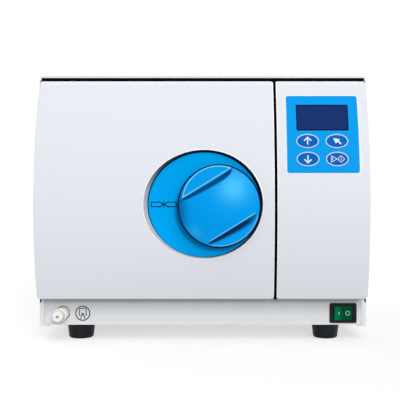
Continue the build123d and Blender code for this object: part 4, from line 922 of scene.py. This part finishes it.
edge_strip("gap_seal", panel_x - 0.0016, panel_x + 0.0003, -0.015, strip_front, gap_black, "chassis")
edge_strip("door_seal", door_x - 0.0004, door_x + 0.0003, -0.004, strip_front, gap_black, "door")
edge_strip("panel_bead", panel_x + 0.0003, panel_x + 0.001, -0.0005, strip_front, edge_highlight_white, "chassis")
edge_strip("door_bead", door_x - 0.0014, door_x - 0.0004, -0.0005, 0.0002, edge_highlight_white, "door")
for name, near_x, far_x, body in (
        ("door_under_bead", door_low.x + 0.004, door_x - 0.0006, "door"),
        ("panel_under_bead", panel_x + 0.0006, fascia_high.x - 0.004, "chassis")):
    trim(name, [[(x, fascia_low.z + rise, height) for rise, height in bead_profile]
                for x in (near_x, far_x)], under_edge_shade_grey, body)
top_strip("door_top_seal", door_low.x + 0.0003, door_x + 0.0003, 0.0026, 0.0046, "door")
top_strip("panel_top_seal", panel_x, fascia_high.x - 0.0003, 0.002, 0.0026, "chassis")

# Keypad sheet
# A thin flexible polyester sheet stuck on the panel, printed blue inside a pale margin.
# The margin is a printed film of its own, a little proud of the panel.
label_blue = finished("keypad_film", (3, 162, 244), (2, 158, 238), 0.45, patch=6, size=1500,
                      spread=0.08, depth=0.00003, shine=0.03)
margin_film = finished("film_margin", (250, 247, 246), (244, 242, 243), 0.4, size=1500)
dress(label_blue, "keypad_overlay")
label_thick, label_corner = 0.0006, 0.003
margin, margin_thick = 0.0017, 0.0003


def rounded(node, outwards, corner, cuts):
    """A node's rounded outline, drawn out by a distance and cut finely along its upright sides."""
    low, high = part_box(node)
    left, right, bottom, top = low.x - outwards, high.x + outwards, low.z - outwards, high.z + outwards
    path = []
    corners = ((right - corner, top - corner), (left + corner, top - corner),
               (left + corner, bottom + corner), (right - corner, bottom + corner))
    for number, (x, z) in enumerate(corners):
        path += arc(x, z, corner, 90 * number, 90 * number + 90, 5)
        if number in (1, 3):
            side_x, end_z = (left, bottom + corner) if number == 1 else (right, top - corner)
            path += [(side_x, z + (end_z - z) * i / cuts) for i in range(1, cuts)]
    return path


margin_path = rounded("keypad_overlay", margin / 2, label_corner + margin / 2, 24)
printed("keypad_margin", [(margin_path, margin, True)], [], on_panel, margin_film, "chassis",
        margin_thick)

# Display
# A tinted window over a dark blue liquid crystal panel, with a thin black line round its edge.
# The window is hard acrylic with a clear gloss.
display_navy = finished("display_tint", (20, 50, 112), (18, 46, 106), 0.4, patch=3, size=1500,
                        spread=0.04, depth=0.00001, shine=0.03)
bezel_black = finished("window_black", (8, 12, 26), (12, 16, 32), 0.4, size=1500, shine=0.03)
dress(display_navy, "display_lens")
window_line, window_corner, window_thick = 0.0013, 0.0008, 0.0001
window_path = rounded("display_lens", -window_line / 2, window_corner, 10)
printed("window_edge", [(window_path, window_line, True)], [],
        lambda x, z, height: on_panel(x, z, label_thick + height), bezel_black, "chassis",
        window_thick)

# Keys
# Four oval keys of deeper blue that click down a little, each with a white rim.
# Their marks are printed in white: up, select, down and start or stop.
key_blue = finished("key_film", (0, 104, 194), (0, 96, 184), 0.45, patch=30, size=1500, spread=0.08,
                    shine=0.03)
rim_pale = finished("key_rim_ink", (206, 230, 250), (196, 222, 244), 0.45, size=1600, shine=0.05)
mark_white = finished("white_ink", (244, 246, 248), (232, 236, 240), 0.45, size=1600)
dress(key_blue, "key_up", "key_select", "key_down", "key_start")
key_half_width, key_half_height, key_top_depth = 0.01495, 0.00975, 0.0098
rim_width, arrow_line, thin_line = 0.0013, 0.0016, 0.0007
arrow = [[(-0.0047, 0.0006), (0.0, 0.0049), (0.0047, 0.0006)], [(0.0, -0.0048), (0.0, 0.0042)]]
pointer = [(-0.0048, 0.0042), (0.0046, 0.0021), (0.002, 0.0006), (0.0062, -0.003), (0.0048, -0.0046),
           (0.0006, -0.0008), (-0.0012, -0.0036)]
triangle = [(-0.0078, 0.0042), (-0.0078, -0.0042), (-0.0004, 0.0)]
diamond = [(0.0004, 0.0), (0.005, 0.0044), (0.0096, 0.0), (0.005, -0.0044)]
bars = [[(0.005, -0.0014), (0.005, 0.0014)], [(-0.0064, -0.002), (-0.0064, 0.002)]]
key_marks = {
    "key_up": ([(path, arrow_line, False) for path in arrow], []),
    "key_select": ([], [pointer]),
    "key_down": ([([(x, -y) for x, y in path], arrow_line, False) for path in arrow], []),
    "key_start": ([(triangle, thin_line, True), (diamond, thin_line, True)]
                  + [(bar, thin_line, False) for bar in bars], []),
}
rim_path = [((key_half_width - rim_width / 2) * cos(t), (key_half_height - rim_width / 2) * sin(t))
            for t in round_turns(48)]


def on_key(node):
    """Places on a key's flat top, from its middle."""
    low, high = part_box(node)
    corners = [vertex.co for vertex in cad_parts[node].data.vertices]
    front = min(corner.y for corner in corners)
    tops = [corner for corner in corners if corner.y < front + key_top_depth]
    lean = asin(((low.z + high.z) / 2 - bend_middle) / bend_radius)
    up = Vector((0, sin(lean), cos(lean)))
    outwards = Vector((0, -cos(lean), sin(lean)))
    reach = max(corner.dot(outwards) for corner in tops)
    flat = [corner for corner in tops if abs(corner.dot(outwards) - reach) < 0.0001]
    level = (max(corner.dot(up) for corner in tops) + min(corner.dot(up) for corner in flat)) / 2
    base = Vector(((low.x + high.x) / 2, 0, 0)) + outwards * reach + up * level

    def spot(x, y, height):
        return base + Vector((x, 0, 0)) + up * y + outwards * height
    return spot


for node, (lines, areas) in key_marks.items():
    place = on_key(node)
    printed(node + "_rim", [(rim_path, rim_width, True)], [], place, rim_pale, node)
    printed(node + "_marks", lines, areas, place, mark_white, node)

# Filler lid
# A flat moulded lid over the clean water tank, hinged on a thin pin along its back.
# It is the cover's white, with a finger notch at its front.
dress(cover_paint, "tank_lid")
dress(plated, "lid_hinge")

# Floor and lights
# A plain white floor and soft lights: one from the front and above, one from behind.
# The camera sees floor and background as white, and the floor keeps the shadow.
bpy.ops.mesh.primitive_plane_add(size=12, location=(0, 0, 0))
floor = bpy.context.object
floor.name = "floor"
floor_glow, ambient = 0.56, 0.43


def seen_share(tree):
    """1 for what the camera sees, also in metal and through glass, and 0 for light on the object."""
    rays = tree.nodes.new("ShaderNodeLightPath").outputs
    seen = math_node(tree, "MAXIMUM", rays["Is Camera Ray"], rays["Is Glossy Ray"])
    return math_node(tree, "MAXIMUM", seen, rays["Is Transmission Ray"])


floor_white = new_material("floor_white", Base_Color=(0.55, 0.55, 0.55, 1), Roughness=0.9,
                           Specular_IOR_Level=0)
tree = floor_white.node_tree
glow = tree.nodes.new("ShaderNodeEmission")
both = tree.nodes.new("ShaderNodeAddShader")
tree.links.new(math_node(tree, "MULTIPLY", seen_share(tree), floor_glow), glow.inputs["Strength"])
tree.links.new(shader_of(floor_white).outputs[0], both.inputs[0])
tree.links.new(glow.outputs[0], both.inputs[1])
tree.links.new(both.outputs[0], tree.nodes["Material Output"].inputs["Surface"])
floor.data.materials.append(floor_white)

world = bpy.data.worlds.new("white_room")
bpy.context.scene.world = world
world.use_nodes = True
tree = world.node_tree
room = tree.nodes["Background"]
room.inputs["Color"].default_value = (1, 1, 1, 1)
strength = math_node(tree, "MULTIPLY", seen_share(tree), 1.0 - ambient)
tree.links.new(math_node(tree, "ADD", strength, ambient), room.inputs["Strength"])


def sun(name, towards, level, spread):
    """A soft distant light; level 1 shows a facing surface at its own colour."""
    data = bpy.data.lights.new(name, "SUN")
    data.energy = level * pi
    data.angle = radians(spread)
    lamp = bpy.data.objects.new(name, data)
    lamp.rotation_mode = "QUATERNION"
    lamp.rotation_quaternion = Vector(towards).to_track_quat("Z", "Y")
    bpy.context.scene.collection.objects.link(lamp)


sun("front_light", (0.25, -0.93, 0.28), 0.36, 14)
sun("top_light", (0.2, -0.62, 0.76), 0.26, 40)
sun("back_light", (-0.5, 0.6, 0.62), 0.2, 40)

# Camera
# It stands a metre ahead of the casing's front, level with the lock and a little to its right.
# The lens is shifted sideways, as the photograph is cropped, so that the casing stays in the middle.
camera_data = bpy.data.cameras.new("camera")
camera_data.lens = 66
camera_data.sensor_width = 36
camera_data.shift_x = -0.06225
camera = bpy.data.objects.new("camera", camera_data)
camera.location = (0.03, front_y - 1.0, 0.19)
camera.rotation_euler = (pi / 2, 0, 0)
bpy.context.scene.collection.objects.link(camera)
bpy.context.scene.camera = camera

settings = bpy.context.scene.view_settings
settings.view_transform = "Standard"
